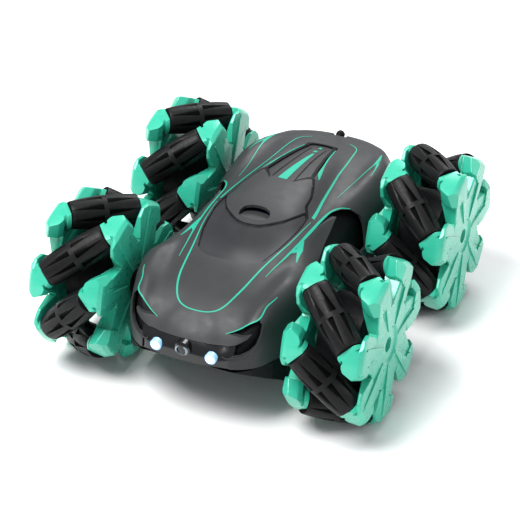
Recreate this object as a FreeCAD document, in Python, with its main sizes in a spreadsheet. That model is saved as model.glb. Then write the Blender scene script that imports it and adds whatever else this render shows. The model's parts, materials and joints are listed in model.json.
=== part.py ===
import FreeCAD, Part
import math
import os
import re

import Sketcher
from FreeCAD import Placement, Rotation, Vector

# A remote-controlled stunt car on four roller wheels.
# Millimetres, +Z up, -Y is the nose, +X is the car's left.
# The origin is on the ground under the middle of the car.

DIMENSIONS = {
    # wheels
    "wheel_radius": 55.0,
    "track_width": 176.0,
    "wheel_base": 136.8,
    "roller_count": 7,
    "roller_circle": 44.4,
    "roller_skew": 45.0,
    "first_roller_angle": 97.0,
    "roller_mid_radius": 10.6,
    "roller_end_radius": 8.0,
    "roller_length": 45.2,
    "roller_end_gap": 0.7,
    "pin_radius": 1.5,
    "pin_length": 57.0,
    "running_gap": 0.05,
    "wheel_half_width": 24.6,
    "frame_outer_radius": 53.6,
    "ring_outer_radius": 36.0,
    "ring_inner_radius": 25.0,
    "ring_inset": 9.0,
    "web_thickness": 3.0,
    "boss_radius": 7.6,
    "boss_length": 8.0,
    "boss_foot": 25.0,
    "boss_foot_width": 11.0,
    "neck_radius": 6.2,
    "neck_length": 0.9,
    "hub_radius": 9.0,
    "hex_width": 7.0,
    "hex_gap": 0.1,
    "hex_reach": 8.0,
    "hub_screw_radius": 1.5,
    "screw_head_radius": 3.0,
    "screw_head_height": 2.2,
    "hub_screw_seat": 14.0,
    # gears, shafts and motors
    "gear_module": 0.7,
    "gear_pressure_angle": 25.0,
    "tooth_head": 0.8,
    "tooth_root": 1.05,
    "gear_backlash": 0.08,
    "gear_teeth": 48,
    "pinion_teeth": 12,
    "gear_width": 4.0,
    "pinion_width": 4.8,
    "gear_plane": 40.0,
    "rib_plane": 34.2,
    "rib_thickness": 1.8,
    "inner_journal_radius": 3.0,
    "outer_journal_radius": 4.2,
    "shaft_collar_radius": 6.0,
    "ear_plane": 46.0,
    "ear_thickness": 5.0,
    "ear_margin": 2.0,
    "bearing_end": 57.0,
    "bearing_radius": 7.0,
    "motor_radius": 10.0,
    "motor_flat": 7.5,
    "motor_length": 25.0,
    "motor_nose_radius": 3.0,
    "cradle_inner": 12.0,
    "cradle_outer": 30.0,
    "motor_cap_radius": 4.0,
    "motor_cap_length": 1.5,
    "motor_shaft_radius": 1.0,
    # body
    "shell_wall": 2.0,
    "sill_height": 46.0,
    "sill_tuck": 1.5,
    "nose_front": -128.8,
    "chin_height": 50.0,
    "lip_back": -120.6,
    "lip_height": 63.9,
    "grille_half_width": 29.5,
    "grille_lean": 1.3,
    "grille_face_height": 6.5,
    "grille_depth": 3.0,
    "lamp_offset": 18.8,
    "lamp_height": 55.4,
    "lamp_radius": 4.2,
    "sensor_height": 57.8,
    "sensor_radius": 5.2,
    "lens_front": -129.0,
    "lens_depth": 6.0,
    "tub_floor": 24.0,
    "tub_front": -119.0,
    "tub_rear": 130.0,
    "approach_start": -89.0,
    "departure_start": 101.0,
    "tub_tail_depth": 6.0,
    "part_gap": 0.4,
    # hatch and vent panel
    "hatch_half_width": 28.0,
    "hatch_taper": 1.0,
    "hatch_taper_length": 8.0,
    "hatch_corner_back": -4.2,
    "hatch_front": -31.0,
    "hatch_hinge_back": 33.5,
    "hatch_rear_half_width": 17.0,
    "kink_half_width": 7.2,
    "kink_back": 19.0,
    "panel_rear_half_width": 9.5,
    "panel_rear": 91.7,
    "panel_drop": 0.6,
    # pieces inside
    "tray_height": 70.0,
    "tray_half_width": 28.0,
    "tray_half_length": 16.0,
    "tray_rim": 4.0,
    "tray_wall": 1.5,
    "tray_post_x": 24.0,
    "tray_post_y": 12.0,
    "tray_post_radius": 3.0,
    "battery_length": 50.0,
    "battery_depth": 28.0,
    "battery_height": 14.5,
    "battery_edge": 6.0,
    "board_half_width": 20.0,
    "board_half_length": 28.0,
    "board_height": 32.0,
    "board_thickness": 1.6,
    "board_post_x": 17.0,
    "board_post_y": 25.0,
    "board_post_radius": 2.5,
    "capacitor_x": 12.0,
    "capacitor_radius": 2.5,
    "capacitor_height": 7.0,
    "switch_back": -76.0,
    "switch_travel": 4.0,
    "switch_play": 0.4,
    "switch_knob_width": 5.0,
    "switch_knob_depth": 4.0,
    "switch_flange_width": 14.0,
    "switch_flange_depth": 8.0,
    "switch_flange_thickness": 1.6,
    "post_x": 34.0,
    "post_y": 94.0,
    "post_radius": 3.5,
    "body_screw_radius": 1.4,
    "body_screw_length": 32.0,
    "body_screw_seat": 7.0,
    # tail
    "nozzle_back": 121.8,
    "nozzle_height": 80.2,
    "nozzle_radius": 3.2,
    "neck_rod_radius": 1.8,
    "notch_half_width": 6.0,
    "notch_depth": 5.0,
    "notch_back": 117.5,
}

# Cross-sections of the body from nose to tail. Each gives its place along Y, then the height of
# the middle line, and the half width and height of the crease, the fender crest and the side.
STATIONS = {
    "nose": (-127.5, 60.8, 14.0, 60.3, 25.0, 58.8, 30.0, 52.3),
    "lip": (-119.1, 67.4, 15.0, 67.2, 32.0, 67.9, 41.0, 56.4),
    "eyes": (-107.2, 74.4, 16.0, 74.0, 38.0, 75.1, 50.5, 62.6),
    "hood": (-91.2, 81.6, 20.0, 80.8, 45.5, 83.8, 56.0, 68.8),
    "fender": (-70.9, 86.7, 25.0, 84.4, 46.0, 86.2, 57.5, 70.2),
    "cowl": (-46.9, 91.8, 29.0, 87.0, 43.0, 83.6, 55.0, 68.6),
    "door": (-10.4, 97.3, 32.8, 89.8, 43.0, 83.1, 54.0, 68.1),
    "roof": (20.8, 98.7, 30.4, 89.6, 43.5, 84.3, 54.5, 69.3),
    "haunch": (62.5, 94.3, 26.4, 87.9, 46.0, 86.8, 57.5, 71.3),
    "deck": (91.8, 87.8, 23.5, 85.9, 45.5, 85.8, 56.0, 70.3),
    "tail": (114.8, 83.1, 20.0, 82.9, 39.0, 81.3, 49.0, 66.3),
    "edge": (127.0, 78.8, 16.0, 78.6, 31.0, 76.8, 39.0, 62.3),
}
STATION_KEYS = ("back", "top", "crease_x", "crease_z", "crest_x", "crest_z", "side_x", "side_z")

# Corners of the tub's plan from nose to tail, each with its half width and its place along Y.
TUB_PLAN = {
    "tub_bow": (28.0, -125.5),
    "tub_cheek": (41.0, -116.0),
    "tub_shoulder": (50.0, -103.0),
    "tub_front_side": (54.0, -91.0),
    "tub_rear_side": (54.0, 91.0),
    "tub_quarter": (48.0, 110.0),
    "tub_stern": (36.0, 130.0),
}
PLAN_KEYS = ("half_width", "back")

# Parts on the circuit board: the low corner across and back, then width, depth and height.
BOARD_PARTS = {
    "board_driver_chip": (-12.0, -18.0, 9.0, 7.0, 1.8),
    "board_radio_chip": (2.0, 4.0, 7.0, 7.0, 1.2),
    "board_plug_socket": (-15.0, 18.0, 8.0, 6.0, 5.0),
}
PART_KEYS = ("low_x", "low_y", "width", "depth", "height")
CAPACITOR_PLACES = (-14.0, -4.0, 6.0)

WHEELS = {
    "front_left": (1, -1),
    "front_right": (-1, -1),
    "rear_left": (1, 1),
    "rear_right": (-1, 1),
}
INNER = -1
OUTER = 1

doc = FreeCAD.newDocument("rc_stunt_car")
sheet = doc.addObject("Spreadsheet::Sheet", "Params")
subparts = []


def fill_sheet():
    """Write every driving dimension into its own cell, with its name as the alias."""
    cells = dict(DIMENSIONS)
    tables = ((STATIONS, STATION_KEYS), (TUB_PLAN, PLAN_KEYS), (BOARD_PARTS, PART_KEYS))
    for table, keys in tables:
        for row, numbers in table.items():
            for key, number in zip(keys, numbers):
                cells[f"{row}_{key}"] = number
    for line, (alias, number) in enumerate(cells.items(), start=1):
        sheet.set(f"A{line}", alias)
        sheet.set(f"B{line}", str(number))
        sheet.setAlias(f"B{line}", alias)
    doc.recompute()
    return cells


CELLS = fill_sheet()


def formula(words):
    """Point each dimension's name in a formula at its cell."""
    return re.sub(r"[a-z_]+", lambda m: f"Params.{m[0]}" if m[0] in CELLS else m[0], words)


def value(words):
    return float(sheet.evalExpression(words))


def bind(thing, **sizes):
    for prop, words in sizes.items():
        thing.setExpression(prop, formula(words))
    return thing


def make(kind, name):
    return doc.addObject(kind, name)


def finish(thing, node, place=Placement()):
    """Name a finished sub-part and put it in its place."""
    doc.recompute()
    thing.Label = node
    thing.Placement = place
    subparts.append(thing)
    return thing


def cylinder(name, radius, height, place=Placement()):
    solid = bind(make("Part::Cylinder", name), Radius=radius, Height=height)
    solid.Placement = place
    return solid


def box(name, low, size):
    """A box from its low corner and its size, each three formulas."""
    solid = bind(make("Part::Box", name), Length=size[0], Width=size[1], Height=size[2])
    solid.Placement = Placement(Vector(*[value(words) for words in low]), Rotation())
    return solid


def fuse(name, shapes):
    solid = make("Part::MultiFuse", name)
    solid.Shapes = shapes
    return solid


def common(name, shapes):
    solid = make("Part::MultiCommon", name)
    solid.Shapes = shapes
    return solid


def cut(name, base, tools):
    solid = make("Part::Cut", name)
    solid.Base = base
    solid.Tool = tools[0] if len(tools) == 1 else fuse(f"{name}_tools", tools)
    return solid


def group(name, solids):
    compound = make("Part::Compound", name)
    compound.Links = solids
    return compound


def outline(name, corners, place=Placement()):
    """A closed sketch of straight lines whose corners are bound to formulas."""
    sketch = make("Sketcher::SketchObject", name)
    points = [Vector(value(across), value(up), 0) for across, up in corners]
    count = len(points)
    for index, start in enumerate(points):
        sketch.addGeometry(Part.LineSegment(start, points[(index + 1) % count]))
    for index in range(count):
        sketch.addConstraint(Sketcher.Constraint("Coincident", index, 2, (index + 1) % count, 1))
    for index, (corner, point) in enumerate(zip(corners, points)):
        for kind, words, distance in zip(("DistanceX", "DistanceY"), corner, point):
            link = sketch.addConstraint(Sketcher.Constraint(kind, -1, 1, index, 1, distance))
            sketch.setExpression(f"Constraints[{link}]", formula(words))
    sketch.Placement = place
    return sketch


def extrude(name, sketch, length, symmetric=False):
    solid = bind(make("Part::Extrusion", name), LengthFwd=length)
    solid.Base = sketch
    solid.DirMode = "Normal"
    solid.Solid = True
    solid.Symmetric = symmetric
    return solid


def along_x(start, back=0.0, height=0.0):
    """The place of a part drawn along its own Z and laid along the car's X."""
    turn = Rotation(Vector(0, 1, 0), Vector(0, 0, 1), Vector(1, 0, 0), "ZXY")
    return Placement(Vector(start, back, height), turn)


def along_y(across, start, height):
    turn = Rotation(Vector(0, 0, 1), Vector(1, 0, 0), Vector(0, 1, 0), "ZXY")
    return Placement(Vector(across, start, height), turn)


def axial(name, radius, side, low, high, back=0.0, height=0.0):
    """A cylinder along X between two distances from the middle, on one side."""
    start = min(side * value(low), side * value(high))
    return cylinder(name, radius, f"({high}) - ({low})", along_x(start, back, height))


# ---------------------------------------------------------------- wheels


def wheel_place(side, end):
    across = side * value("track_width / 2")
    back = end * value("wheel_base / 2")
    return Placement(Vector(across, back, value("wheel_radius")), Rotation())


def roller_place(side, index, distance):
    """Place in the wheel's frame, a distance along one roller's axle from its middle.

    Local Z runs along the axle towards the wheel's outer face and local X points away
    from the wheel's centre.
    """
    turn = math.radians(value("first_roller_angle") - index * value("360 / roller_count"))
    skew = math.radians(value("roller_skew"))
    radial = Vector(0, -math.cos(turn), math.sin(turn))
    tangent = Vector(0, math.sin(turn), math.cos(turn))
    axle = Vector(side * math.cos(skew), 0, 0) - tangent * math.sin(skew)
    origin = radial * value("roller_circle") + axle * distance
    return Placement(origin, Rotation(radial, axle.cross(radial), axle, "ZXY"))


def each_roller():
    return range(int(value("roller_count")))


def roller(node, place):
    """A barrel whose arc follows the wheel's own round envelope, with a bore for its pin."""
    body = make("PartDesign::Body", node)
    sketch = body.newObject("Sketcher::SketchObject", f"{node}_profile")
    planes = body.Origin.OriginFeatures
    sketch.AttachmentSupport = [next(p for p in planes if p.Role == "XZ_Plane")]
    sketch.MapMode = "FlatFace"
    bore = value("pin_radius + running_gap")
    rim = value("roller_end_radius")
    half = value("roller_length / 2")
    corners = [Vector(bore, -half), Vector(rim, -half), Vector(rim, half), Vector(bore, half)]
    crown = Vector(value("roller_mid_radius"), 0)
    sketch.addGeometry(Part.LineSegment(corners[0], corners[1]))
    sketch.addGeometry(Part.Arc(corners[1], crown, corners[2]))
    sketch.addGeometry(Part.LineSegment(corners[2], corners[3]))
    sketch.addGeometry(Part.LineSegment(corners[3], corners[0]))
    for first, second in ((0, 1), (1, 2), (2, 3), (3, 0)):
        sketch.addConstraint(Sketcher.Constraint("Coincident", first, 2, second, 1))
    sketch.addConstraint(Sketcher.Constraint("Horizontal", 0))
    sketch.addConstraint(Sketcher.Constraint("Horizontal", 2))
    sketch.addConstraint(Sketcher.Constraint("Vertical", 3))
    sketch.addConstraint(Sketcher.Constraint("Symmetric", 0, 2, 2, 1, -1))
    rise = "(roller_mid_radius - roller_end_radius)"
    arc = f"(pow(roller_length / 2; 2) + pow({rise}; 2)) / (2 * {rise})"
    drivers = (
        (Sketcher.Constraint("DistanceX", -1, 1, 0, 1, bore), "pin_radius + running_gap"),
        (Sketcher.Constraint("DistanceX", -1, 1, 0, 2, rim), "roller_end_radius"),
        (Sketcher.Constraint("DistanceY", 0, 2, 2, 1, 2 * half), "roller_length"),
        (Sketcher.Constraint("Radius", 1, value(arc)), arc),
    )
    for constraint, words in drivers:
        link = sketch.addConstraint(constraint)
        sketch.setExpression(f"Constraints[{link}]", formula(words))
    barrel = body.newObject("PartDesign::Revolution", f"{node}_barrel")
    barrel.Profile = sketch
    barrel.ReferenceAxis = (sketch, ["V_Axis"])
    barrel.Angle = 360
    body.Tip = barrel
    return finish(body, node, place)


def boss(name, side, index, face):
    """The block that holds one end of one roller pin, with its foot and its neck."""
    gap = "roller_length / 2 + roller_end_gap"
    start = value(f"{gap} + neck_length")
    low = start if face == OUTER else -start - value("boss_length")
    neck_low = value(gap) if face == OUTER else -start
    head_place = roller_place(side, index, low)
    neck_place = roller_place(side, index, neck_low)
    foot_shift = Vector(-value("boss_foot"), -value("boss_foot_width / 2"), 0)
    foot = bind(
        make("Part::Box", f"{name}_foot"),
        Length="boss_foot",
        Width="boss_foot_width",
        Height="boss_length",
    )
    foot.Placement = head_place * Placement(foot_shift, Rotation())
    return [
        cylinder(f"{name}_head", "boss_radius", "boss_length", head_place),
        cylinder(f"{name}_neck", "neck_radius", "neck_length * 1.1", neck_place),
        foot,
    ]


def pin(name, radius, side, index):
    start = -value("pin_length / 2")
    return cylinder(name, radius, "pin_length", roller_place(side, index, start))


def hex_bar(name, width, side, low, high):
    bar = bind(
        make("Part::Prism", name), Circumradius=f"({width}) / sqrt(3)", Height=f"({high}) - ({low})"
    )
    bar.Polygon = 6
    start = min(side * value(low), side * value(high))
    bar.Placement = along_x(start)
    return bar


def wheel_frame(node, side, end, face):
    """One half of the wheel: hub, web, ring and the seven pin bosses of that face."""
    way = side * face
    inset = "wheel_half_width - ring_inset"
    solid = [
        axial(f"{node}_hub", "hub_radius", way, "0", "wheel_half_width - 2", 0, 0),
        axial(f"{node}_web", "ring_inner_radius + 2", way, inset, f"{inset} + web_thickness"),
        cut(
            f"{node}_ring",
            axial(f"{node}_rim", "ring_outer_radius", way, inset, "wheel_half_width"),
            [axial(f"{node}_eye", "ring_inner_radius", way, f"{inset} - 1", "wheel_half_width + 1")],
        ),
    ]
    for index in each_roller():
        solid += boss(f"{node}_boss_{index + 1}", side, index, face)
    envelope = cylinder(
        f"{node}_envelope",
        "frame_outer_radius",
        "2 * wheel_half_width",
        along_x(-value("wheel_half_width")),
    )
    body = common(f"{node}_body", [fuse(f"{node}_rough", solid), envelope])
    holes = [pin(f"{node}_pin_hole_{index + 1}", "pin_radius", side, index) for index in each_roller()]
    socket = "hex_width + 2 * hex_gap"
    if face == INNER:
        holes.append(hex_bar(f"{node}_socket", socket, way, "-1", "wheel_half_width + 1"))
    else:
        holes.append(hex_bar(f"{node}_socket", socket, way, "-1", "hex_reach + hex_gap"))
        holes.append(axial(f"{node}_screw_hole", "hub_screw_radius", way, "0", "hub_screw_seat + 1"))
        head = "screw_head_radius + hex_gap"
        holes.append(axial(f"{node}_screw_well", head, way, "hub_screw_seat", "wheel_half_width + 1"))
    return finish(cut(f"{node}_solid", body, holes), node, wheel_place(side, end))


def wheel_fasteners(node, side, end):
    """Seven roller pins and the screw that holds the wheel on its shaft."""
    pins = [pin(f"{node}_pin_{index + 1}", "pin_radius", side, index) for index in each_roller()]
    head_top = "hub_screw_seat + screw_head_height"
    head = axial(f"{node}_head", "screw_head_radius", side, "hub_screw_seat", head_top)
    shank = axial(f"{node}_shank", "hub_screw_radius", side, "hex_reach + hex_gap", "hub_screw_seat")
    screw = fuse(f"{node}_screw", [head, shank])
    return finish(group(f"{node}_set", pins + [screw]), node, wheel_place(side, end))


# ---------------------------------------------------------------- gears and motors


def gear_disc(name, teeth_name, width_name, first_tooth, place):
    """A spur gear with involute flanks and stub teeth."""
    teeth = int(value(teeth_name))
    module = value("gear_module")
    pitch = module * teeth / 2
    pressure = math.radians(value("gear_pressure_angle"))
    base = pitch * math.cos(pressure)
    tip = pitch + value("tooth_head") * module
    root = pitch - value("tooth_root") * module
    backlash = value("gear_backlash")
    flank_steps = 4

    def involute(radius):
        lean = math.acos(min(1.0, base / radius))
        return math.tan(lean) - lean

    half_tooth = (math.pi * module / 2 - backlash) / pitch / 2
    flank = []
    for step in range(flank_steps + 1):
        radius = root + (tip - root) * step / flank_steps
        angle = half_tooth + involute(pitch) - involute(max(radius, base))
        flank.append((radius, angle))
    points = []
    for tooth in range(teeth):
        middle = math.radians(first_tooth) + 2 * math.pi * tooth / teeth
        rising = [(radius, middle - angle) for radius, angle in flank]
        falling = [(radius, middle + angle) for radius, angle in reversed(flank)]
        for radius, angle in rising + falling:
            points.append(Vector(radius * math.cos(angle), radius * math.sin(angle), 0))
    wire = Part.makePolygon(points + [points[0]])
    disc = make("Part::Feature", name)
    disc.Shape = Part.Face(wire).extrude(Vector(0, 0, value(width_name)))
    disc.Placement = place
    return disc


def output_gear(node, side, end):
    """The big gear, moulded in one with the hexagonal shaft that carries the wheel."""
    back = end * value("wheel_base / 2")
    height = value("wheel_radius")
    start = side * value("gear_plane") - value("gear_width / 2")
    disc = gear_disc(f"{node}_disc", "gear_teeth", "gear_width", 0, along_x(start))
    gear_in = "gear_plane - gear_width / 2"
    gear_out = "gear_plane + gear_width / 2"
    shaft_end = "track_width / 2 + hex_reach"
    ear = "ear_plane - 0.3"
    solid = [
        disc,
        axial(f"{node}_inner_journal", "inner_journal_radius", side, "rib_plane + 0.2", gear_in),
        axial(f"{node}_collar", "shaft_collar_radius", side, gear_out, ear),
        axial(f"{node}_outer_journal", "outer_journal_radius", side, ear, "bearing_end + 0.2"),
        hex_bar(f"{node}_hex", "hex_width", side, "bearing_end", shaft_end),
    ]
    return finish(fuse(f"{node}_solid", solid), node, Placement(Vector(0, back, height), Rotation()))


def motor_place(side, end):
    centres = value("gear_module * (gear_teeth + pinion_teeth) / 2")
    back = end * (value("wheel_base / 2") - centres)
    return Placement(Vector(0, back, value("wheel_radius")), Rotation())


def motor_pinion(node, side, end):
    """The motor's shaft with its small gear, which is half a tooth out of step with the big one."""
    start = side * value("gear_plane") - value("pinion_width / 2")
    half_tooth = value("180 / pinion_teeth")
    disc = gear_disc(f"{node}_disc", "pinion_teeth", "pinion_width", half_tooth, along_x(start))
    low = "rib_plane - motor_length / 2 + 0.2"
    high = "gear_plane + pinion_width / 2 + 0.5"
    shaft = axial(f"{node}_shaft", "motor_shaft_radius", side, low, high)
    return finish(fuse(f"{node}_solid", [disc, shaft]), node, motor_place(side, end))


def drive_motor(name, side, end):
    """A small can motor with two flat sides, an end cap and the bore for its shaft."""
    inner = "rib_plane - motor_length"
    can = axial(f"{name}_can", "motor_radius", side, inner, "rib_plane")
    flats = box(
        f"{name}_flats",
        ("-track_width", "-motor_radius", "-motor_flat"),
        ("2 * track_width", "2 * motor_radius", "2 * motor_flat"),
    )
    cap = axial(f"{name}_cap", "motor_cap_radius", side, f"{inner} - motor_cap_length", inner)
    bore = "motor_shaft_radius + running_gap"
    hole = axial(f"{name}_bore", bore, side, "rib_plane - motor_length / 2", "rib_plane + 1")
    solid = fuse(f"{name}_solid", [common(f"{name}_flatted", [can, flats]), cap])
    motor = cut(f"{name}_bored", solid, [hole])
    motor.Placement = motor_place(side, end)
    return motor


# ---------------------------------------------------------------- body


def section(station, inset, shift):
    """One closed cross-section: a smooth curve over the roof and a straight line across the sill."""
    number = {key: value(f"{station}_{key}") for key in STATION_KEYS}
    back = number["back"] + shift
    sill = value("sill_height") - (value("shell_wall") * 3 if inset else 0)
    half = [
        (number["side_x"] - value("sill_tuck") - inset, sill),
        (number["side_x"] - inset, number["side_z"] - inset),
        (number["crest_x"] - inset, number["crest_z"] - inset),
        (number["crease_x"], number["crease_z"] - inset),
    ]
    left = [Vector(-across, back, up) for across, up in half]
    right = [Vector(across, back, up) for across, up in reversed(half)]
    curve = Part.BSplineCurve()
    curve.interpolate(left + [Vector(0, back, number["top"] - inset)] + right)
    return Part.Wire([curve.toShape(), Part.makeLine(right[-1], left[0])])


def hull(name, inset):
    """The smooth outer form of the body, or the same form shrunk by the wall."""
    stations = list(STATIONS)
    wires = []
    for station in stations:
        shift = 0
        if station == stations[0]:
            shift = inset
        if station == stations[-1]:
            shift = -inset
        wires.append(section(station, inset, shift))
    form = make("Part::Feature", name)
    form.Shape = Part.makeLoft(wires, True)
    return form


def skin(name):
    return cut(name, hull(f"{name}_outside", 0), [hull(f"{name}_inside", value("shell_wall"))])


def mirrored_outline(name, right, place=Placement()):
    """A sketch symmetric about its upright axis, from its right-hand corners."""
    left = [(f"-({across})", up) for across, up in reversed(right)]
    return outline(name, right + left, place)


def upright_prism(name, corners, margin):
    """A tall column over a plan outline grown by a margin."""
    plan = make("Part::Offset2D", f"{name}_plan")
    plan.Source = mirrored_outline(f"{name}_sketch", corners)
    plan.Value = margin
    column = extrude(f"{name}_column", plan, "3 * wheel_radius")
    return column


def hatch_column(name, margin):
    """The hatch's plan: zig-zag at the back, straight sides, and a round front edge."""
    corners = [
        ("hatch_half_width", "hatch_front * 2"),
        ("hatch_half_width", "hatch_corner_back"),
        ("hatch_half_width - hatch_taper", "hatch_corner_back + hatch_taper_length"),
        ("hatch_rear_half_width", "hatch_hinge_back - part_gap"),
        ("kink_half_width", "kink_back"),
    ]
    column = upright_prism(f"{name}_sides", corners, margin)
    rise = "(hatch_corner_back - hatch_front)"
    arc = f"(pow(hatch_half_width; 2) + pow({rise}; 2)) / (2 * {rise})"
    centre = Placement(Vector(0, value(f"hatch_front + {arc}"), 0), Rotation())
    bow = cylinder(f"{name}_bow", f"{arc} + {margin}", "3 * wheel_radius", centre)
    return common(name, [column, bow])


def panel_column(name, margin):
    corners = [
        ("kink_half_width", "kink_back + part_gap"),
        ("hatch_rear_half_width", "hatch_hinge_back + part_gap"),
        ("panel_rear_half_width", "panel_rear"),
    ]
    return upright_prism(name, corners, margin)


def side_prism(name, corners, half_width):
    """A block with a side-view outline, centred on the car. Corners are (back, up)."""
    upright = Rotation(Vector(0, 1, 0), Vector(0, 0, 1), Vector(1, 0, 0), "ZXY")
    sketch = outline(f"{name}_sketch", corners, Placement(Vector(), upright))
    return extrude(name, sketch, f"2 * ({half_width})", symmetric=True)


def approach_wedge(name):
    """Everything below the slope that runs up from the belly to the chin."""
    corners = [
        ("approach_start", "tub_floor"),
        ("nose_front", "chin_height"),
        ("nose_front - 20", "chin_height"),
        ("nose_front - 20", "0"),
        ("approach_start", "0"),
    ]
    return side_prism(name, corners, "track_width / 2")


def body_shell():
    window = "part_gap"
    half_cut = "grille_half_width + 0.1"
    tools = [
        hatch_column("hatch_opening", value(window)),
        panel_column("panel_opening", 0.1),
        approach_wedge("shell_slope"),
        box(
            "grille_opening",
            (f"-({half_cut})", "nose_front - 10", "0"),
            (f"2 * ({half_cut})", "lip_back - nose_front + 10", "lip_height + 0.1"),
        ),
        box(
            "tail_notch",
            ("-notch_half_width", "notch_back", "nozzle_height - notch_depth"),
            ("2 * notch_half_width", "20", "20"),
        ),
    ]
    for wheel, (side, end) in WHEELS.items():
        height = value("wheel_radius")
        back = end * value("wheel_base / 2")
        name = f"shaft_window_{wheel}"
        radius = "bearing_radius + part_gap"
        tools.append(axial(name, radius, side, "ear_plane", "track_width / 2", back, height))
    posts = []
    for name, across, back in corner_posts("shell_post"):
        place = Placement(Vector(across, back, value("sill_height + 0.1")), Rotation())
        posts.append(cylinder(name, "post_radius", "sill_height", place))
    middle_of_wall = hull("post_limit", value("shell_wall / 2"))
    post_set = common("shell_posts", [fuse("shell_tall_posts", posts), middle_of_wall])
    shell = [cut("shell_cut", skin("shell_skin"), tools), post_set]
    holes = []
    hole_length = "tub_floor + body_screw_seat + body_screw_length - sill_height + 1"
    for name, across, back in corner_posts("shell_post_hole"):
        place = Placement(Vector(across, back, value("sill_height - 1")), Rotation())
        holes.append(cylinder(name, "body_screw_radius", hole_length, place))
    finish(cut("shell_solid", fuse("shell_joined", shell), holes), "body_shell")


def corner_posts(prefix):
    for wheel, (side, end) in WHEELS.items():
        yield f"{prefix}_{wheel}", side * value("post_x"), end * value("post_y")


def roof_hatch():
    finish(common("hatch_solid", [skin("hatch_skin"), hatch_column("hatch_plan", 0)]), "roof_hatch")


def rear_vent_panel():
    panel = common("panel_solid", [skin("panel_skin"), panel_column("panel_plan", 0)])
    finish(panel, "rear_vent_panel", Placement(Vector(0, 0, -value("panel_drop")), Rotation()))


def front_grille():
    """The black band under the hood lip, with holes for the lamps and the sensor window."""
    corners = [
        ("nose_front", "chin_height"),
        ("nose_front + grille_lean", "chin_height + grille_face_height"),
        ("lip_back - part_gap", "lip_height"),
        ("lip_back + grille_depth", "lip_height"),
        ("lip_back + grille_depth", "sill_height + 0.1"),
        ("tub_front", "sill_height + 0.1"),
    ]
    holes = []
    for name, across, height, radius in lens_places():
        place = along_y(across, value("nose_front - 2"), height)
        holes.append(cylinder(f"{name}_hole", f"{radius} + 0.1", "lens_depth + 2", place))
    block = side_prism("grille_block", corners, "grille_half_width")
    finish(cut("grille_solid", block, holes), "front_grille")


def lens_places():
    yield "lamp_left", value("lamp_offset"), value("lamp_height"), "lamp_radius"
    yield "lamp_right", -value("lamp_offset"), value("lamp_height"), "lamp_radius"
    yield "sensor", 0.0, value("sensor_height"), "sensor_radius"


def front_lenses():
    lenses = []
    for name, across, height, radius in lens_places():
        place = along_y(across, value("lens_front"), height)
        lenses.append(cylinder(f"{name}_lens", radius, "lens_depth", place))
    finish(group("lens_set", lenses), "front_lenses")


def tail_nozzle():
    height = value("nozzle_height")
    ball = bind(make("Part::Sphere", "nozzle_ball"), Radius="nozzle_radius")
    ball.Placement = Placement(Vector(0, value("nozzle_back"), height), Rotation())
    rod_place = along_y(0, value("notch_back"), height)
    rod = cylinder("nozzle_rod", "neck_rod_radius", "nozzle_back - notch_back", rod_place)
    finish(fuse("nozzle_solid", [ball, rod]), "tail_nozzle")


def tub_block(name, wall):
    """The tub's outer block, or with a wall its cavity: a side view crossed with a plan."""
    lift = f"tub_floor + {wall}"
    top = "sill_height" if wall == 0 else "sill_height + 10"
    slope = "(chin_height - tub_floor) / (nose_front - approach_start)"
    corners = [
        (f"approach_start + {wall} / 2", lift),
        (f"departure_start - {wall} / 2", lift),
        (f"tub_rear - {wall}", f"sill_height - tub_tail_depth + {wall}"),
        (f"tub_rear - {wall}", top),
        (f"approach_start + {wall} * 2 + ({top} - ({lift})) / ({slope})", top),
    ]
    profile = side_prism(f"{name}_profile", corners, "track_width / 2")
    plan = [(f"{corner}_half_width", f"{corner}_back") for corner in TUB_PLAN]
    return common(name, [profile, upright_prism(f"{name}_plan", plan, -wall)])


def gearbox_walls(wheel, side, end):
    """The rib behind the gears and the ear that carries the wheel shaft's bearing."""
    height = value("wheel_radius")
    back = end * value("wheel_base / 2")
    motor_back = motor_place(side, end).Base.y
    low = min(back, motor_back) - value("motor_radius")
    rib_start = min(side * value("rib_plane"), side * value("rib_plane + rib_thickness"))
    ear_start = min(side * value("ear_plane"), side * value("ear_plane + ear_thickness"))
    cradle_start = min(side * value("cradle_inner"), side * value("cradle_outer"))
    span = str(abs(back - motor_back) + 2 * value("motor_radius"))
    floor = "tub_floor + shell_wall / 2"
    rise = f"wheel_radius + bearing_radius + ear_margin - ({floor})"
    rib_low = (str(rib_start), str(low), floor)
    ear_low = (str(ear_start), str(back - value("bearing_radius + ear_margin")), floor)
    ear_size = ("ear_thickness", "2 * (bearing_radius + ear_margin)", rise)
    cradle_low = (str(cradle_start), str(motor_back - value("motor_flat")), floor)
    cradle_rise = f"wheel_radius - motor_flat - ({floor})"
    cradle_size = ("cradle_outer - cradle_inner", "2 * motor_flat", cradle_rise)
    name = f"tub_{wheel}"
    solid = [
        box(f"{name}_rib", rib_low, ("rib_thickness", span, rise)),
        box(f"{name}_ear", ear_low, ear_size),
        box(f"{name}_cradle", cradle_low, cradle_size),
        axial(f"{name}_bearing", "bearing_radius", side, "ear_plane", "bearing_end", back, height),
    ]
    inner = "inner_journal_radius + running_gap"
    outer = "outer_journal_radius + running_gap"
    rib_end = "rib_plane + rib_thickness + 1"
    holes = [
        axial(f"{name}_inner_bore", inner, side, "rib_plane - 1", rib_end, back, height),
        axial(f"{name}_outer_bore", outer, side, "ear_plane - 1", "bearing_end + 1", back, height),
        axial(f"{name}_motor_hole", "motor_nose_radius", side, "rib_plane - 1", rib_end, motor_back, height),
    ]
    return solid, holes


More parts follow.
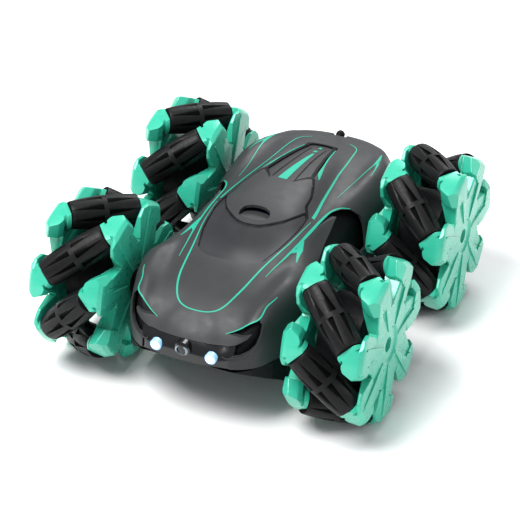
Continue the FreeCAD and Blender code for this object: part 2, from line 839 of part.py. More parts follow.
def floor_posts(prefix, top):
    """Four posts from the tub's floor up to a height."""
    floor = "tub_floor + shell_wall / 2"
    posts = []
    for index, (across, back) in enumerate(((-1, -1), (1, -1), (-1, 1), (1, 1)), start=1):
        corner = Vector(across * value(f"{prefix}_x"), back * value(f"{prefix}_y"), value(floor))
        place = Placement(corner, Rotation())
        posts.append(cylinder(f"{prefix}_{index}", f"{prefix}_radius", f"{top} - ({floor})", place))
    return posts


def chassis_tub():
    """The lower half of the car: an open tub with gearbox walls, posts and the battery tray."""
    shell_wall = value("shell_wall")
    solid = [cut("tub_walls", tub_block("tub_outside", 0), [tub_block("tub_cavity", shell_wall)])]
    holes = [switch_slot()]
    for wheel, (side, end) in WHEELS.items():
        walls, bores = gearbox_walls(wheel, side, end)
        solid += walls
        holes += bores
    for name, across, back in corner_posts("tub_post"):
        foot = Placement(Vector(across, back, value("tub_floor + 5")), Rotation())
        through = Placement(Vector(across, back, 0), Rotation())
        solid.append(cylinder(name, "post_radius", "sill_height - tub_floor - 5", foot))
        holes.append(cylinder(f"{name}_hole", "body_screw_radius + 0.1", "sill_height + 5", through))
        seat = "tub_floor + body_screw_seat"
        holes.append(cylinder(f"{name}_well", "screw_head_radius + 0.1", seat, through))
    solid += floor_posts("tray_post", "tray_height")
    solid += floor_posts("board_post", "board_height")
    tray_low = ("-tray_half_width", "-tray_half_length", "tray_height")
    tray_size = ("2 * tray_half_width", "2 * tray_half_length", "shell_wall + tray_rim")
    well_low = ("tray_wall - tray_half_width", "tray_wall - tray_half_length", "tray_height + shell_wall")
    well_size = ("2 * (tray_half_width - tray_wall)", "2 * (tray_half_length - tray_wall)", "2 * tray_rim")
    well = box("tray_well", well_low, well_size)
    solid.append(cut("battery_tray", box("tray_block", tray_low, tray_size), [well]))
    finish(cut("tub_solid", fuse("tub_joined", solid), holes), "chassis_tub")


# ---------------------------------------------------------------- pieces inside


def switch_slot():
    """The slot in the belly, longer than the knob by its travel and a little play."""
    half_width = "(switch_knob_width / 2 + switch_play)"
    half_depth = "(switch_knob_depth / 2 + switch_play)"
    low = (f"-{half_width}", f"switch_back - {half_depth}", "tub_floor - 1")
    size = (f"2 * {half_width} + switch_travel", f"2 * {half_depth}", "shell_wall + 2")
    return box("switch_slot", low, size)


def power_switch():
    stem_low = ("-switch_knob_width / 2", "switch_back - switch_knob_depth / 2", "tub_floor + switch_play")
    stem = box("switch_stem", stem_low, ("switch_knob_width", "switch_knob_depth", "shell_wall"))
    flange_low = (
        "-switch_flange_width / 2",
        "switch_back - switch_flange_depth / 2",
        "tub_floor + shell_wall + switch_play",
    )
    flange_size = ("switch_flange_width", "switch_flange_depth", "switch_flange_thickness")
    flange = box("switch_flange", flange_low, flange_size)
    finish(fuse("switch_solid", [stem, flange]), "power_switch")


def battery_pack():
    low = ("-battery_length / 2", "-battery_depth / 2", "tray_height + shell_wall")
    block = box("battery_block", low, ("battery_length", "battery_depth", "battery_height"))
    doc.recompute()
    pack = make("Part::Fillet", "battery_solid")
    pack.Base = block
    edges = []
    for index, edge in enumerate(block.Shape.Edges, start=1):
        first, last = (vertex.Point for vertex in edge.Vertexes)
        if abs(first.x - last.x) > 1:
            edges.append((index, value("battery_edge"), value("battery_edge")))
    pack.Edges = edges
    finish(pack, "battery_pack")


def circuit_board():
    plate_low = ("-board_half_width", "-board_half_length", "board_height")
    plate_size = ("2 * board_half_width", "2 * board_half_length", "board_thickness")
    top = "board_height + board_thickness"
    solid = [box("board_plate", plate_low, plate_size)]
    for name in BOARD_PARTS:
        size = (f"{name}_width", f"{name}_depth", f"{name}_height")
        solid.append(box(name, (f"{name}_low_x", f"{name}_low_y", top), size))
    for index, back in enumerate(CAPACITOR_PLACES, start=1):
        place = Placement(Vector(value("capacitor_x"), back, value(top)), Rotation())
        solid.append(cylinder(f"board_capacitor_{index}", "capacitor_radius", "capacitor_height", place))
    finish(fuse("board_solid", solid), "circuit_board")


def body_screws():
    screws = []
    for name, across, back in corner_posts("body_screw"):
        seat_height = value("tub_floor + body_screw_seat")
        seat = Placement(Vector(across, back, seat_height - value("screw_head_height")), Rotation())
        shank = Placement(Vector(across, back, seat_height), Rotation())
        head = cylinder(f"{name}_head", "screw_head_radius", "screw_head_height", seat)
        stem = cylinder(f"{name}_stem", "body_screw_radius", "body_screw_length", shank)
        screws.append(fuse(name, [head, stem]))
    finish(group("screw_set", screws), "body_screws")


# ---------------------------------------------------------------- assembly


def build():
    for wheel, (side, end) in WHEELS.items():
        wheel_frame(f"wheel_inner_frame_{wheel}", side, end, INNER)
        wheel_frame(f"wheel_outer_frame_{wheel}", side, end, OUTER)
        wheel_fasteners(f"wheel_fasteners_{wheel}", side, end)
        output_gear(f"output_gear_{wheel}", side, end)
        motor_pinion(f"motor_pinion_{wheel}", side, end)
        for index in each_roller():
            place = wheel_place(side, end) * roller_place(side, index, 0)
            roller(f"roller_{wheel}_{index + 1}", place)
    motors = [drive_motor(f"motor_{wheel}", side, end) for wheel, (side, end) in WHEELS.items()]
    finish(group("motor_set", motors), "drive_motors")
    body_shell()
    chassis_tub()
    roof_hatch()
    rear_vent_panel()
    front_grille()
    front_lenses()
    tail_nozzle()
    battery_pack()
    circuit_board()
    power_switch()
    body_screws()


def check():
    """Stop if any object failed or any sub-part is empty or invalid."""
    doc.recompute()
    for thing in doc.Objects:
        if "Invalid" in thing.State or "Error" in thing.State:
            raise RuntimeError(f"{thing.Label} failed: {thing.State}")
    for part in subparts:
        if part.Shape.isNull() or not part.Shape.isValid():
            raise RuntimeError(f"{part.Label} has no valid shape")
        if not part.Shape.Solids:
            raise RuntimeError(f"{part.Label} has no solid")


def write():
    os.makedirs("parts", exist_ok=True)
    for part in subparts:
        part.Shape.exportStep(f"parts/{part.Label}.step")


build()
check()
write()
print(f"{len(subparts)} sub-parts written")
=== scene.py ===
import json
import math

import bmesh
import bpy
import numpy as np
from mathutils import Matrix, Vector
from mathutils.bvhtree import BVHTree


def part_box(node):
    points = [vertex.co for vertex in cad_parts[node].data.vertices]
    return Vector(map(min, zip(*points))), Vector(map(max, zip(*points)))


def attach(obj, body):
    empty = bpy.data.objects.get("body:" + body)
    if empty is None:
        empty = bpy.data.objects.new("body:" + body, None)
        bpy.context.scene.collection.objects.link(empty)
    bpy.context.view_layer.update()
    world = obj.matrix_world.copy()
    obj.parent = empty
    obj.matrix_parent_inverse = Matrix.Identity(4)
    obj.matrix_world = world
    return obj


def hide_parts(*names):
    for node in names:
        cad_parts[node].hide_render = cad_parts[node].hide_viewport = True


# A remote-controlled stunt car on roller wheels. Lengths in the tables are millimetres,
# +Z up, -Y is the nose, +X is the car's left. MM turns them into metres.

MM = 0.001

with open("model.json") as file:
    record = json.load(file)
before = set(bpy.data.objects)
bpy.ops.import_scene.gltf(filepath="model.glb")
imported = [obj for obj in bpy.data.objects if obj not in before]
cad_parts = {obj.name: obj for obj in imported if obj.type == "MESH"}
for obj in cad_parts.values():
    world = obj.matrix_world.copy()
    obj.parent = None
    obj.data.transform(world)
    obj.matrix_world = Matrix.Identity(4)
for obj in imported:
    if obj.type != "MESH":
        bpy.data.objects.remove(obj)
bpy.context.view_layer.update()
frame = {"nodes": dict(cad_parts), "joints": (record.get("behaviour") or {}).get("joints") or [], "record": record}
SCENE = bpy.context.scene


# ---------------------------------------------------------------- materials


def shade(name, colour, rough=0.5, metallic=0.0, grain=0.0, grain_size=900.0, vary=0.08,
          rough_vary=0.08, wear=0.0, wear_colour=None, specular=0.5, coat=0.0, coat_rough=0.15,
          patch=60.0, transmission=0.0, glow=None, ior=1.46):
    """A procedural finish: colour and roughness drift, a fine moulded grain and worn edges."""
    material = bpy.data.materials.new(name)
    material.use_nodes = True
    nodes = material.node_tree.nodes
    links = material.node_tree.links
    shader = nodes["Principled BSDF"]
    coords = nodes.new("ShaderNodeTexCoord")

    def noise(scale, detail=4.0):
        texture = nodes.new("ShaderNodeTexNoise")
        texture.inputs["Scale"].default_value = scale
        texture.inputs["Detail"].default_value = detail
        links.new(coords.outputs["Object"], texture.inputs["Vector"])
        return texture.outputs["Fac"]

    def spread(source, low, high, start=0.3, end=0.7):
        remap = nodes.new("ShaderNodeMapRange")
        remap.inputs["From Min"].default_value = start
        remap.inputs["From Max"].default_value = end
        remap.inputs["To Min"].default_value = low
        remap.inputs["To Max"].default_value = high
        links.new(source, remap.inputs["Value"])
        return remap.outputs["Result"]

    def mix(factor, first, second):
        blend = nodes.new("ShaderNodeMix")
        blend.data_type = "RGBA"
        links.new(factor, blend.inputs["Factor"])
        for socket, tone in ((blend.inputs[6], first), (blend.inputs[7], second)):
            if isinstance(tone, tuple):
                socket.default_value = (*tone, 1.0)
            else:
                links.new(tone, socket)
        return blend.outputs[2]

    darker = tuple(c * (1 - vary) for c in colour)
    lighter = tuple(min(1.0, c * (1 + vary)) for c in colour)
    tone = mix(spread(noise(patch), 0.0, 1.0), darker, lighter)
    roughness = spread(noise(patch * 2.7, 6.0), max(0.02, rough - rough_vary), min(1.0, rough + rough_vary))
    if wear > 0:
        geometry = nodes.new("ShaderNodeNewGeometry")
        edge = spread(geometry.outputs["Pointiness"], 0.0, wear, 0.52, 0.62)
        scuffed = nodes.new("ShaderNodeMath")
        scuffed.operation = "MULTIPLY"
        links.new(edge, scuffed.inputs[0])
        links.new(spread(noise(patch * 5), 0.2, 1.0), scuffed.inputs[1])
        worn = wear_colour or tuple(min(1.0, c * 1.6 + 0.02) for c in colour)
        tone = mix(scuffed.outputs[0], tone, worn)
    links.new(tone, shader.inputs["Base Color"])
    links.new(roughness, shader.inputs["Roughness"])
    shader.inputs["Metallic"].default_value = metallic
    shader.inputs["Specular IOR Level"].default_value = specular
    shader.inputs["Coat Weight"].default_value = coat
    shader.inputs["Coat Roughness"].default_value = coat_rough
    shader.inputs["Transmission Weight"].default_value = transmission
    shader.inputs["IOR"].default_value = ior
    if glow:
        shader.inputs["Emission Color"].default_value = (*glow[0], 1.0)
        shader.inputs["Emission Strength"].default_value = glow[1]
    if grain > 0:
        bump = nodes.new("ShaderNodeBump")
        bump.inputs["Strength"].default_value = grain
        bump.inputs["Distance"].default_value = 0.0002
        links.new(noise(grain_size, 3.0), bump.inputs["Height"])
        links.new(bump.outputs["Normal"], shader.inputs["Normal"])
    return material


GREY = shade("shell_grey", (0.034, 0.035, 0.036), 0.44, grain=0.1, wear=0.3, rough_vary=0.05, specular=0.28)
# The windscreen grey is the shell grey made darker: painted shade of the steeper screen.
SCREEN_SHADE_GREY = shade("windscreen_shaded_grey", (0.024, 0.025, 0.027), 0.34, grain=0.04, rough_vary=0.04, specular=0.3)
BLACK = shade("black_plastic", (0.004, 0.004, 0.005), 0.55, grain=0.2, wear=0.2, specular=0.15)
GLOSS = shade("gloss_black", (0.004, 0.004, 0.005), 0.16, coat=0.3, rough_vary=0.04, grain=0.02)
MINT = shade("stripe_mint", (0.02, 0.38, 0.26), 0.45, vary=0.04, grain=0.05, specular=0.25)
GREEN = shade("wheel_green", (0.03, 0.47, 0.31), 0.3, metallic=0.05, vary=0.05, rough_vary=0.05, wear=0.2,
              wear_colour=(0.3, 0.8, 0.62), coat=0.35, coat_rough=0.25, grain=0.012)
RUBBER = shade("roller_rubber", (0.006, 0.006, 0.0064), 0.46, vary=0.15, grain=0.1, wear=0.3,
               wear_colour=(0.04, 0.04, 0.04), patch=120.0, specular=0.22)
# A near-black copy of the rubber for the grooves, the recessed ends and the bore: painted shade in the roller's
# recesses.
RUBBER_SHADE = shade("roller_recess_shade", (0.002, 0.002, 0.002), 0.7, grain=0.1, specular=0.08)
STEEL = shade("steel", (0.55, 0.55, 0.56), 0.3, metallic=1.0, wear=0.2, grain=0.05)
MOTOR_STEEL = shade("motor_steel", (0.5, 0.5, 0.52), 0.35, metallic=1.0, wear=0.2, grain=0.08)
GEAR_WHITE = shade("gear_white", (0.78, 0.78, 0.75), 0.4, grain=0.05, wear=0.1)
BOARD_GREEN = shade("board_green", (0.02, 0.14, 0.06), 0.35, coat=0.3, grain=0.05)
BATTERY = shade("battery_wrap", (0.03, 0.1, 0.4), 0.3, coat=0.3, grain=0.05)
LAMP_WHITE = shade("lamp_white", (0.9, 0.95, 1.0), 0.2, vary=0.02, coat=0.5, glow=((0.8, 0.9, 1.0), 1.5))
LAMP_HALO = shade("lamp_halo", (0.3, 0.55, 0.9), 0.25, vary=0.05, coat=0.5, glow=((0.3, 0.6, 1.0), 0.4))
CLEAR = shade("clear_lens", (0.9, 0.95, 1.0), 0.05, vary=0.02, rough_vary=0.03, transmission=0.9)
PALE = shade("lens_glint", (0.22, 0.3, 0.36), 0.12, vary=0.1, coat=0.6, coat_rough=0.06)
FLOOR = shade("studio_floor", (0.93, 0.93, 0.93), 0.8, vary=0.01, patch=3.0)

CAD_FINISH = {
    "shell_grey": GREY,
    "black_plastic": BLACK,
    "gloss_black": GLOSS,
    "clear_lens": CLEAR,
    "wheel_green": GREEN,
    "roller_rubber": RUBBER,
    "steel": STEEL,
    "motor_steel": MOTOR_STEEL,
    "gear_white": GEAR_WHITE,
    "board_green": BOARD_GREEN,
    "battery_wrap": BATTERY,
}


# ---------------------------------------------------------------- mesh helpers


def add_object(name, mesh, materials=(), smooth=35.0):
    thing = bpy.data.objects.new(name, mesh)
    SCENE.collection.objects.link(thing)
    mesh.materials.clear()
    for material in materials:
        mesh.materials.append(material)
    if smooth is not None:
        for face in mesh.polygons:
            face.use_smooth = True
        mesh.set_sharp_from_angle(angle=math.radians(smooth))
    return thing


def mesh_from(name, points, faces):
    mesh = bpy.data.meshes.new(name)
    mesh.from_pydata([tuple(p) for p in points], [], faces)
    mesh.validate()
    work = bmesh.new()
    work.from_mesh(mesh)
    bmesh.ops.recalc_face_normals(work, faces=work.faces)
    work.to_mesh(mesh)
    work.free()
    return mesh


def hull_mesh(name, points, bevel=0.0, segments=2, flat=1.0):
    """The convex hull of points, with its flat faces merged and its edges rounded."""
    work = bmesh.new()
    verts = [work.verts.new(p) for p in points]
    result = bmesh.ops.convex_hull(work, input=verts)
    loose = [v for v in work.verts if not v.link_faces]
    bmesh.ops.delete(work, geom=loose, context="VERTS")
    bmesh.ops.dissolve_limit(
        work, angle_limit=math.radians(flat), verts=work.verts[:], edges=work.edges[:])
    if bevel > 0:
        edges = [e for e in work.edges if e.is_manifold and e.calc_face_angle(0) > math.radians(12)]
        bmesh.ops.bevel(work, geom=edges, offset=bevel * MM, segments=segments, profile=0.5,
                        affect="EDGES", clamp_overlap=True)
    bmesh.ops.recalc_face_normals(work, faces=work.faces)
    mesh = bpy.data.meshes.new(name)
    work.to_mesh(mesh)
    work.free()
    return mesh


def combine(name, base, tools, operation="UNION"):
    """Boolean of a closed mesh with others; the meshes used up are removed."""
    holder = bpy.data.objects.new(name, base)
    SCENE.collection.objects.link(holder)
    helpers = []
    for index, tool in enumerate(tools):
        helper = bpy.data.objects.new(f"{name}_tool_{index}", tool)
        SCENE.collection.objects.link(helper)
        helpers.append(helper)
        step = holder.modifiers.new(f"step_{index}", "BOOLEAN")
        step.object = helper
        step.operation = operation
        step.solver = "MANIFOLD"
    bpy.context.view_layer.update()
    result = bpy.data.meshes.new_from_object(
        holder.evaluated_get(bpy.context.evaluated_depsgraph_get()))
    result.name = name
    for thing in [holder, *helpers]:
        bpy.data.objects.remove(thing)
    return result


def turned(mesh, matrix):
    """A moved copy of a mesh, with its faces still outwards when the matrix mirrors it."""
    copy = mesh.copy()
    copy.transform(matrix)
    if matrix.determinant() < 0:
        copy.flip_normals()
    return copy


CORE = 0.02  # a solid turned profile starts this far from its axis


def ring_mesh(name, profile, steps=48):
    """A closed solid of revolution about Z from a closed loop of (radius, height)."""
    points = []
    faces = []
    count = len(profile)
    for step in range(steps):
        angle = 2 * math.pi * step / steps
        for radius, height in profile:
            points.append(Vector((radius * math.cos(angle), radius * math.sin(angle), height)) * MM)
    for step in range(steps):
        after = (step + 1) % steps
        for index in range(count):
            following = (index + 1) % count
            faces.append((step * count + index, after * count + index,
                          after * count + following, step * count + following))
    return mesh_from(name, points, faces)


# ---------------------------------------------------------------- rollers

ROLLERS = 7
PITCHES = 8
BARREL_HALF = 22.8
BARREL_MID = 10.6
BARREL_END = 8.9
BORE = 1.56
BAND_HALF = 1.5
GROOVE_SHARE = 0.58
GROOVE_DEPTH = 1.9
GROOVE_COLUMNS = 5
LAND_COLUMNS = 5


def barrel_radius(along):
    """The barrel's radius at a distance from its middle, on an arc from BARREL_MID to BARREL_END."""
    rise = BARREL_MID - BARREL_END
    arc = (BARREL_HALF ** 2 + rise ** 2) / (2 * rise)
    return BARREL_MID - arc + math.sqrt(arc ** 2 - along ** 2)


def groove_columns(along, share, depth):
    """Angle and depth of every column of one row; the grooves narrow towards the end."""
    row = []
    columns = GROOVE_COLUMNS + LAND_COLUMNS
    pitch = 2 * math.pi / PITCHES
    for index in range(PITCHES):
        centre = pitch * index
        start = centre - share * pitch / 2
        for column in range(GROOVE_COLUMNS):
            ramp = column / GROOVE_COLUMNS
            if column == 0:
                row.append((start, 0.0))
            elif column == 1:
                row.append((start + share * pitch * 0.07, depth))
            else:
                row.append((start + share * pitch * ramp, depth * (1 - ramp) * 1.1))
        for column in range(LAND_COLUMNS):
            row.append((start + share * pitch + (1 - share) * pitch * column / LAND_COLUMNS, 0.0))
    return row


def roller_mesh():
    """One grooved barrel about Z, with a plain band at the middle and recessed ends."""
    rows = []
    half = (GROOVE_COLUMNS + LAND_COLUMNS) // 2

    def tread_row(height, radius, share, depth):
        columns = groove_columns(height, share, depth)
        if height < 0:
            pitch = 2 * math.pi / PITCHES
            columns = [(angle + pitch / 2, deep) for angle, deep in columns]
            columns = columns[-half:] + columns[:-half]
            columns = [(angle - 2 * math.pi if index < half else angle, deep)
                       for index, (angle, deep) in enumerate(columns)]
        rows.append([(radius - deep, height, angle) for angle, deep in columns])

    reach = BARREL_HALF - BAND_HALF - 0.8
    steps = 9
    sides = []
    for sign in (1, -1):
        stations = [(BAND_HALF, GROOVE_SHARE, 0.0), (BAND_HALF + 0.35, GROOVE_SHARE, GROOVE_DEPTH)]
        for step in range(1, steps + 1):
            part = step / steps
            share = GROOVE_SHARE * (1 - 0.93 * part)
            depth = GROOVE_DEPTH * (1 - part) ** 0.6
            stations.append((BAND_HALF + 0.35 + (reach - 0.35) * part, share, depth))
        sides.append([(sign * height, share, depth) for height, share, depth in stations])
    for height, share, depth in reversed(sides[0]):
        tread_row(height, barrel_radius(height), share, depth)
    for height, share, depth in sides[1]:
        tread_row(height, barrel_radius(height), share, depth)
    end = BARREL_HALF
    caps = [(end - 0.35, barrel_radius(end) - 0.12), (end, barrel_radius(end) - 0.6),
            (end + 0.12, barrel_radius(end) - 1.4), (end + 0.05, 5.4), (end - 0.5, 5.1),
            (end - 1.6, 4.9), (end - 1.7, 3.2), (end - 1.7, BORE)]
    upper = [[(radius, height, angle) for _, _, angle in rows[0]] for height, radius in caps]
    lower = [[(radius, -height, angle) for _, _, angle in rows[-1]] for height, radius in caps]
    rows = list(reversed(upper)) + rows + lower
    columns = len(rows[0])
    points = []
    for row in rows:
        for radius, height, angle in row:
            points.append(Vector((radius * math.cos(angle), radius * math.sin(angle), height)) * MM)
    faces = []
    for index in range(len(rows)):
        following = (index + 1) % len(rows)
        for column in range(columns):
            after = (column + 1) % columns
            faces.append((index * columns + column, index * columns + after,
                          following * columns + after, following * columns + column))
    mesh = mesh_from("roller", points, faces)
    mesh.materials.append(RUBBER)
    mesh.materials.append(RUBBER_SHADE)
    # Faces in the grooves, on the recessed ends and in the bore take the near-black rubber as painted shade.
    for face in mesh.polygons:
        height = abs(face.center.z) / MM
        radius = Vector(face.center.xy).length / MM
        in_groove = height < BARREL_HALF - 1 and radius < barrel_radius(height) - 0.45
        if height > BARREL_HALF - 0.2 or radius < 5.6 or in_groove:
            face.material_index = 1
    return mesh


def joint(name):
    """The place and axis of one of the frame's joints."""
    found = next(j for j in frame["joints"] if j["name"] == name)
    return Vector(found["pos_m"]), Vector(found.get("axis", (0, 0, 1)))


def basis(origin, x_axis, y_axis, z_axis):
    """A placement from its origin and its three axes."""
    matrix = Matrix((x_axis, y_axis, z_axis)).transposed().to_4x4()
    matrix.translation = origin
    return matrix


WHEELS = {"front_left": 1, "front_right": -1, "rear_left": 1, "rear_right": -1}


def build_rollers():
    shared = roller_mesh()
    for face in shared.polygons:
        face.use_smooth = True
    shared.set_sharp_from_angle(angle=math.radians(32))
    for wheel in WHEELS:
        hub, _ = joint(f"wheel_{wheel}_spin")
        for index in range(1, ROLLERS + 1):
            node = f"roller_{wheel}_{index}"
            centre, axle = joint(f"{node}_spin")
            radial = (centre - hub).normalized()
            roller = bpy.data.objects.new(f"tread_{wheel}_{index}", shared)
            SCENE.collection.objects.link(roller)
            roller.matrix_world = basis(centre, radial, axle.cross(radial), axle)
            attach(roller, node)
            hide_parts(node)


# ---------------------------------------------------------------- wheel frames

ROLLER_CIRCLE = 44.4
HALF_TURN = math.sqrt(0.5)
STEP = 2 * math.pi / ROLLERS
PLATE_LOW = 18.8
PLATE_HIGH = 25.6


def wheel_point(radius, index, out):
    """A point of the left wheel: x out of the wheel's face, angle counted in rollers."""
    angle = -index * STEP
    return Vector((out, -radius * math.cos(angle), radius * math.sin(angle))) * MM


def boss_point(along, across, up):
    """A point near roller 0: along its axle, across it, and out from its middle."""
    out = (along + across) * HALF_TURN
    tangent = (across - along) * HALF_TURN
    return Vector((out, -(ROLLER_CIRCLE + up), tangent)) * MM


def boss_section(along, radius, lift, low, low_half):
    """A teardrop across the roller's axle: round at the rim, narrow towards the hub."""
    points = []
    for step in range(9):
        angle = math.radians(-25 + 230 * step / 8)
        points.append(boss_point(along, radius * math.cos(angle), lift + radius * math.sin(angle)))
    for across in (-low_half, low_half):
        points.append(boss_point(along, across, low))
    return points


def disc_points(radius, low, high, steps=28):
    points = []
    for along in (low, high):
        for step in range(steps):
            angle = 2 * math.pi * step / steps
            points.append(boss_point(along, radius * math.cos(angle), radius * math.sin(angle)))
    return points


def plate(rows):
    """Points of a plate from (radius, index, low face, high face) rows."""
    points = []
    for radius, index, low, high in rows:
        points += [wheel_point(radius, index, low), wheel_point(radius, index, high)]
    return points


def frame_sector():
    """One seventh of a wheel's outer frame: the head that holds a roller's pin, and its part of the plate."""
    block = boss_section(28.0, 9.2, 0.0, -11, 7.0) + boss_section(32.0, 10.6, 0.2, -12, 7.0)
    block += boss_section(38.5, 8.6, 0.0, -12, 4.0)
    web = boss_section(28.5, 8.4, -2.0, -12, 7.0)
    web += [wheel_point(30, index, out) for index in (0.93, 1.0) for out in (PLATE_LOW, PLATE_HIGH)]
    lobe = ((30, 0.08, 19.5, 25.8), (44, 0.1, 22.5, 25.2), (50, 0.19, 23.2, 25.4), (52.5, 0.36, 22.8, 27),
            (52, 0.55, 20, 27), (46, 0.67, 18.2, 26), (29.5, 1.02, PLATE_LOW, PLATE_HIGH))
    crest = ((13, 0.36, 20, 26.2), (13, 0.5, 20, 26.2), (34, 0.3, 20, 27.4), (34, 0.52, 20, 27.4),
             (47, 0.3, 22, 27.4), (48, 0.48, 22, 27.4))
    line = ((13, 0.62, 25.2, 30), (13, 0.68, 25.2, 30), (42, 0.6, 25.8, 30), (42, 0.615, 25.8, 30))
    notch = ((12, 0.98, 25.0, 30), (12, 1.1, 25.0, 30), (31, 1.02, 24.6, 30), (31, 1.06, 24.6, 30))
    parts = [hull_mesh("collar", disc_points(8.9, 23.2, 26.2), 0.4),
             hull_mesh("neck", disc_points(7.4, 26.0, 28.6)),
             hull_mesh("block", block, 0.8, 3, 5.0), hull_mesh("web", web, 0.6, 3, 4.0),
             hull_mesh("lobe", plate(lobe), 0.7), hull_mesh("crest", plate(crest), 0.5)]
    sector = combine("sector", parts[0], parts[1:])
    cuts = [hull_mesh("line", plate(line)), hull_mesh("notch", plate(notch))]
    return combine("sector_cut", sector, cuts, "DIFFERENCE")


def round_points(rows):
    """Points of a disc about the wheel's axle from (radius, out) rows."""
    return [wheel_point(radius, step / 4, out) for radius, out in rows for step in range(28)]


def frame_mesh():
    """A whole outer frame: the disc and hub with seven sectors, trimmed to the wheel's envelope."""
    sector = frame_sector()
    rim = ((27, PLATE_LOW), (29.5, 19.6), (29.5, 24.8), (28.6, PLATE_HIGH))
    disc = hull_mesh("disc", round_points(rim), 0.3)
    hub = hull_mesh("hub", round_points(((10, 0.4), (12, 14), (14, 18.9))), 0.3)
    sectors = [turned(sector, Matrix.Rotation(STEP * index, 4, "X")) for index in range(ROLLERS)]
    body = combine("frame_body", disc, [hub, *sectors])
    outline = ((CORE, -1), (53.4, -1), (53.4, 21.5), (52.6, 24.2), (50.6, 26.4), (48.6, 27.2), (15, 27.2),
               (11, 24.4), (CORE, 24.4))
    envelope = ring_mesh("envelope", outline, 84)
    envelope.transform(Matrix.Rotation(math.pi / 2, 4, "Y"))
    body = combine("frame_trimmed", body, [envelope], "INTERSECT")
    well = hull_mesh("well", round_points(((3.4, 14), (3.4, 22), (5.2, 25.5))))
    return combine("wheel_frame", body, [well], "DIFFERENCE")


SLEEVE = ((CORE, -37), (6.4, -37), (7.0, -36.4), (7.0, -26), (8.6, -24.6), (8.6, -18), (CORE, -18))
# The black drum inside each wheel is painted shade: it darkens the wheel's inside, which lies in shadow.
SHADE_DRUM = ((10.5, -13.5), (25.5, -13.5), (26.5, -12.5), (26.5, 12.5), (25.5, 13.5), (10.5, 13.5))


def build_wheel_frames():
    """One frame serves all: the inner one is the outer one turned over, the right side mirrored."""
    left = frame_mesh()
    flip = Matrix.Scale(-1, 4, Vector((1, 0, 0)))
    over = Matrix.Rotation(math.pi, 4, "Y")
    meshes = {(1, "outer"): left, (1, "inner"): turned(left, over)}
    meshes[(-1, "outer")] = turned(left, flip)
    meshes[(-1, "inner")] = turned(meshes[(1, "inner")], flip)
    for mesh in meshes.values():
        mesh.materials.clear()
        mesh.materials.append(GREEN)
        for face in mesh.polygons:
            face.use_smooth = True
        mesh.set_sharp_from_angle(angle=math.radians(24))
    for wheel, side in WHEELS.items():
        hub, _ = joint(f"wheel_{wheel}_spin")
        first, _ = joint(f"roller_{wheel}_1_spin")
        radial = (first - hub).normalized()
        turn = basis(hub, Vector((1, 0, 0)), -radial, Vector((1, 0, 0)).cross(-radial))
        for face in ("outer", "inner"):
            frame_half = bpy.data.objects.new(f"wheel_{face}_half_{wheel}", meshes[(side, face)])
            SCENE.collection.objects.link(frame_half)
            frame_half.matrix_world = turn
            tidy = frame_half.modifiers.new("weighted", "WEIGHTED_NORMAL")
            tidy.keep_sharp = True
            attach(frame_half, f"wheel_{wheel}")
            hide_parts(f"wheel_{face}_frame_{wheel}")
        # The drum made here is painted shade for the wheel's shadowed inside.
        for word, profile in (("sleeve", SLEEVE), ("shade_drum", SHADE_DRUM)):
            thing = add_object(f"wheel_{word}_{wheel}", ring_mesh(word, profile), [BLACK])
            thing.matrix_world = turn @ Matrix.Rotation(side * math.pi / 2, 4, "Y")
            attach(thing, f"wheel_{wheel}")


# ---------------------------------------------------------------- body surface

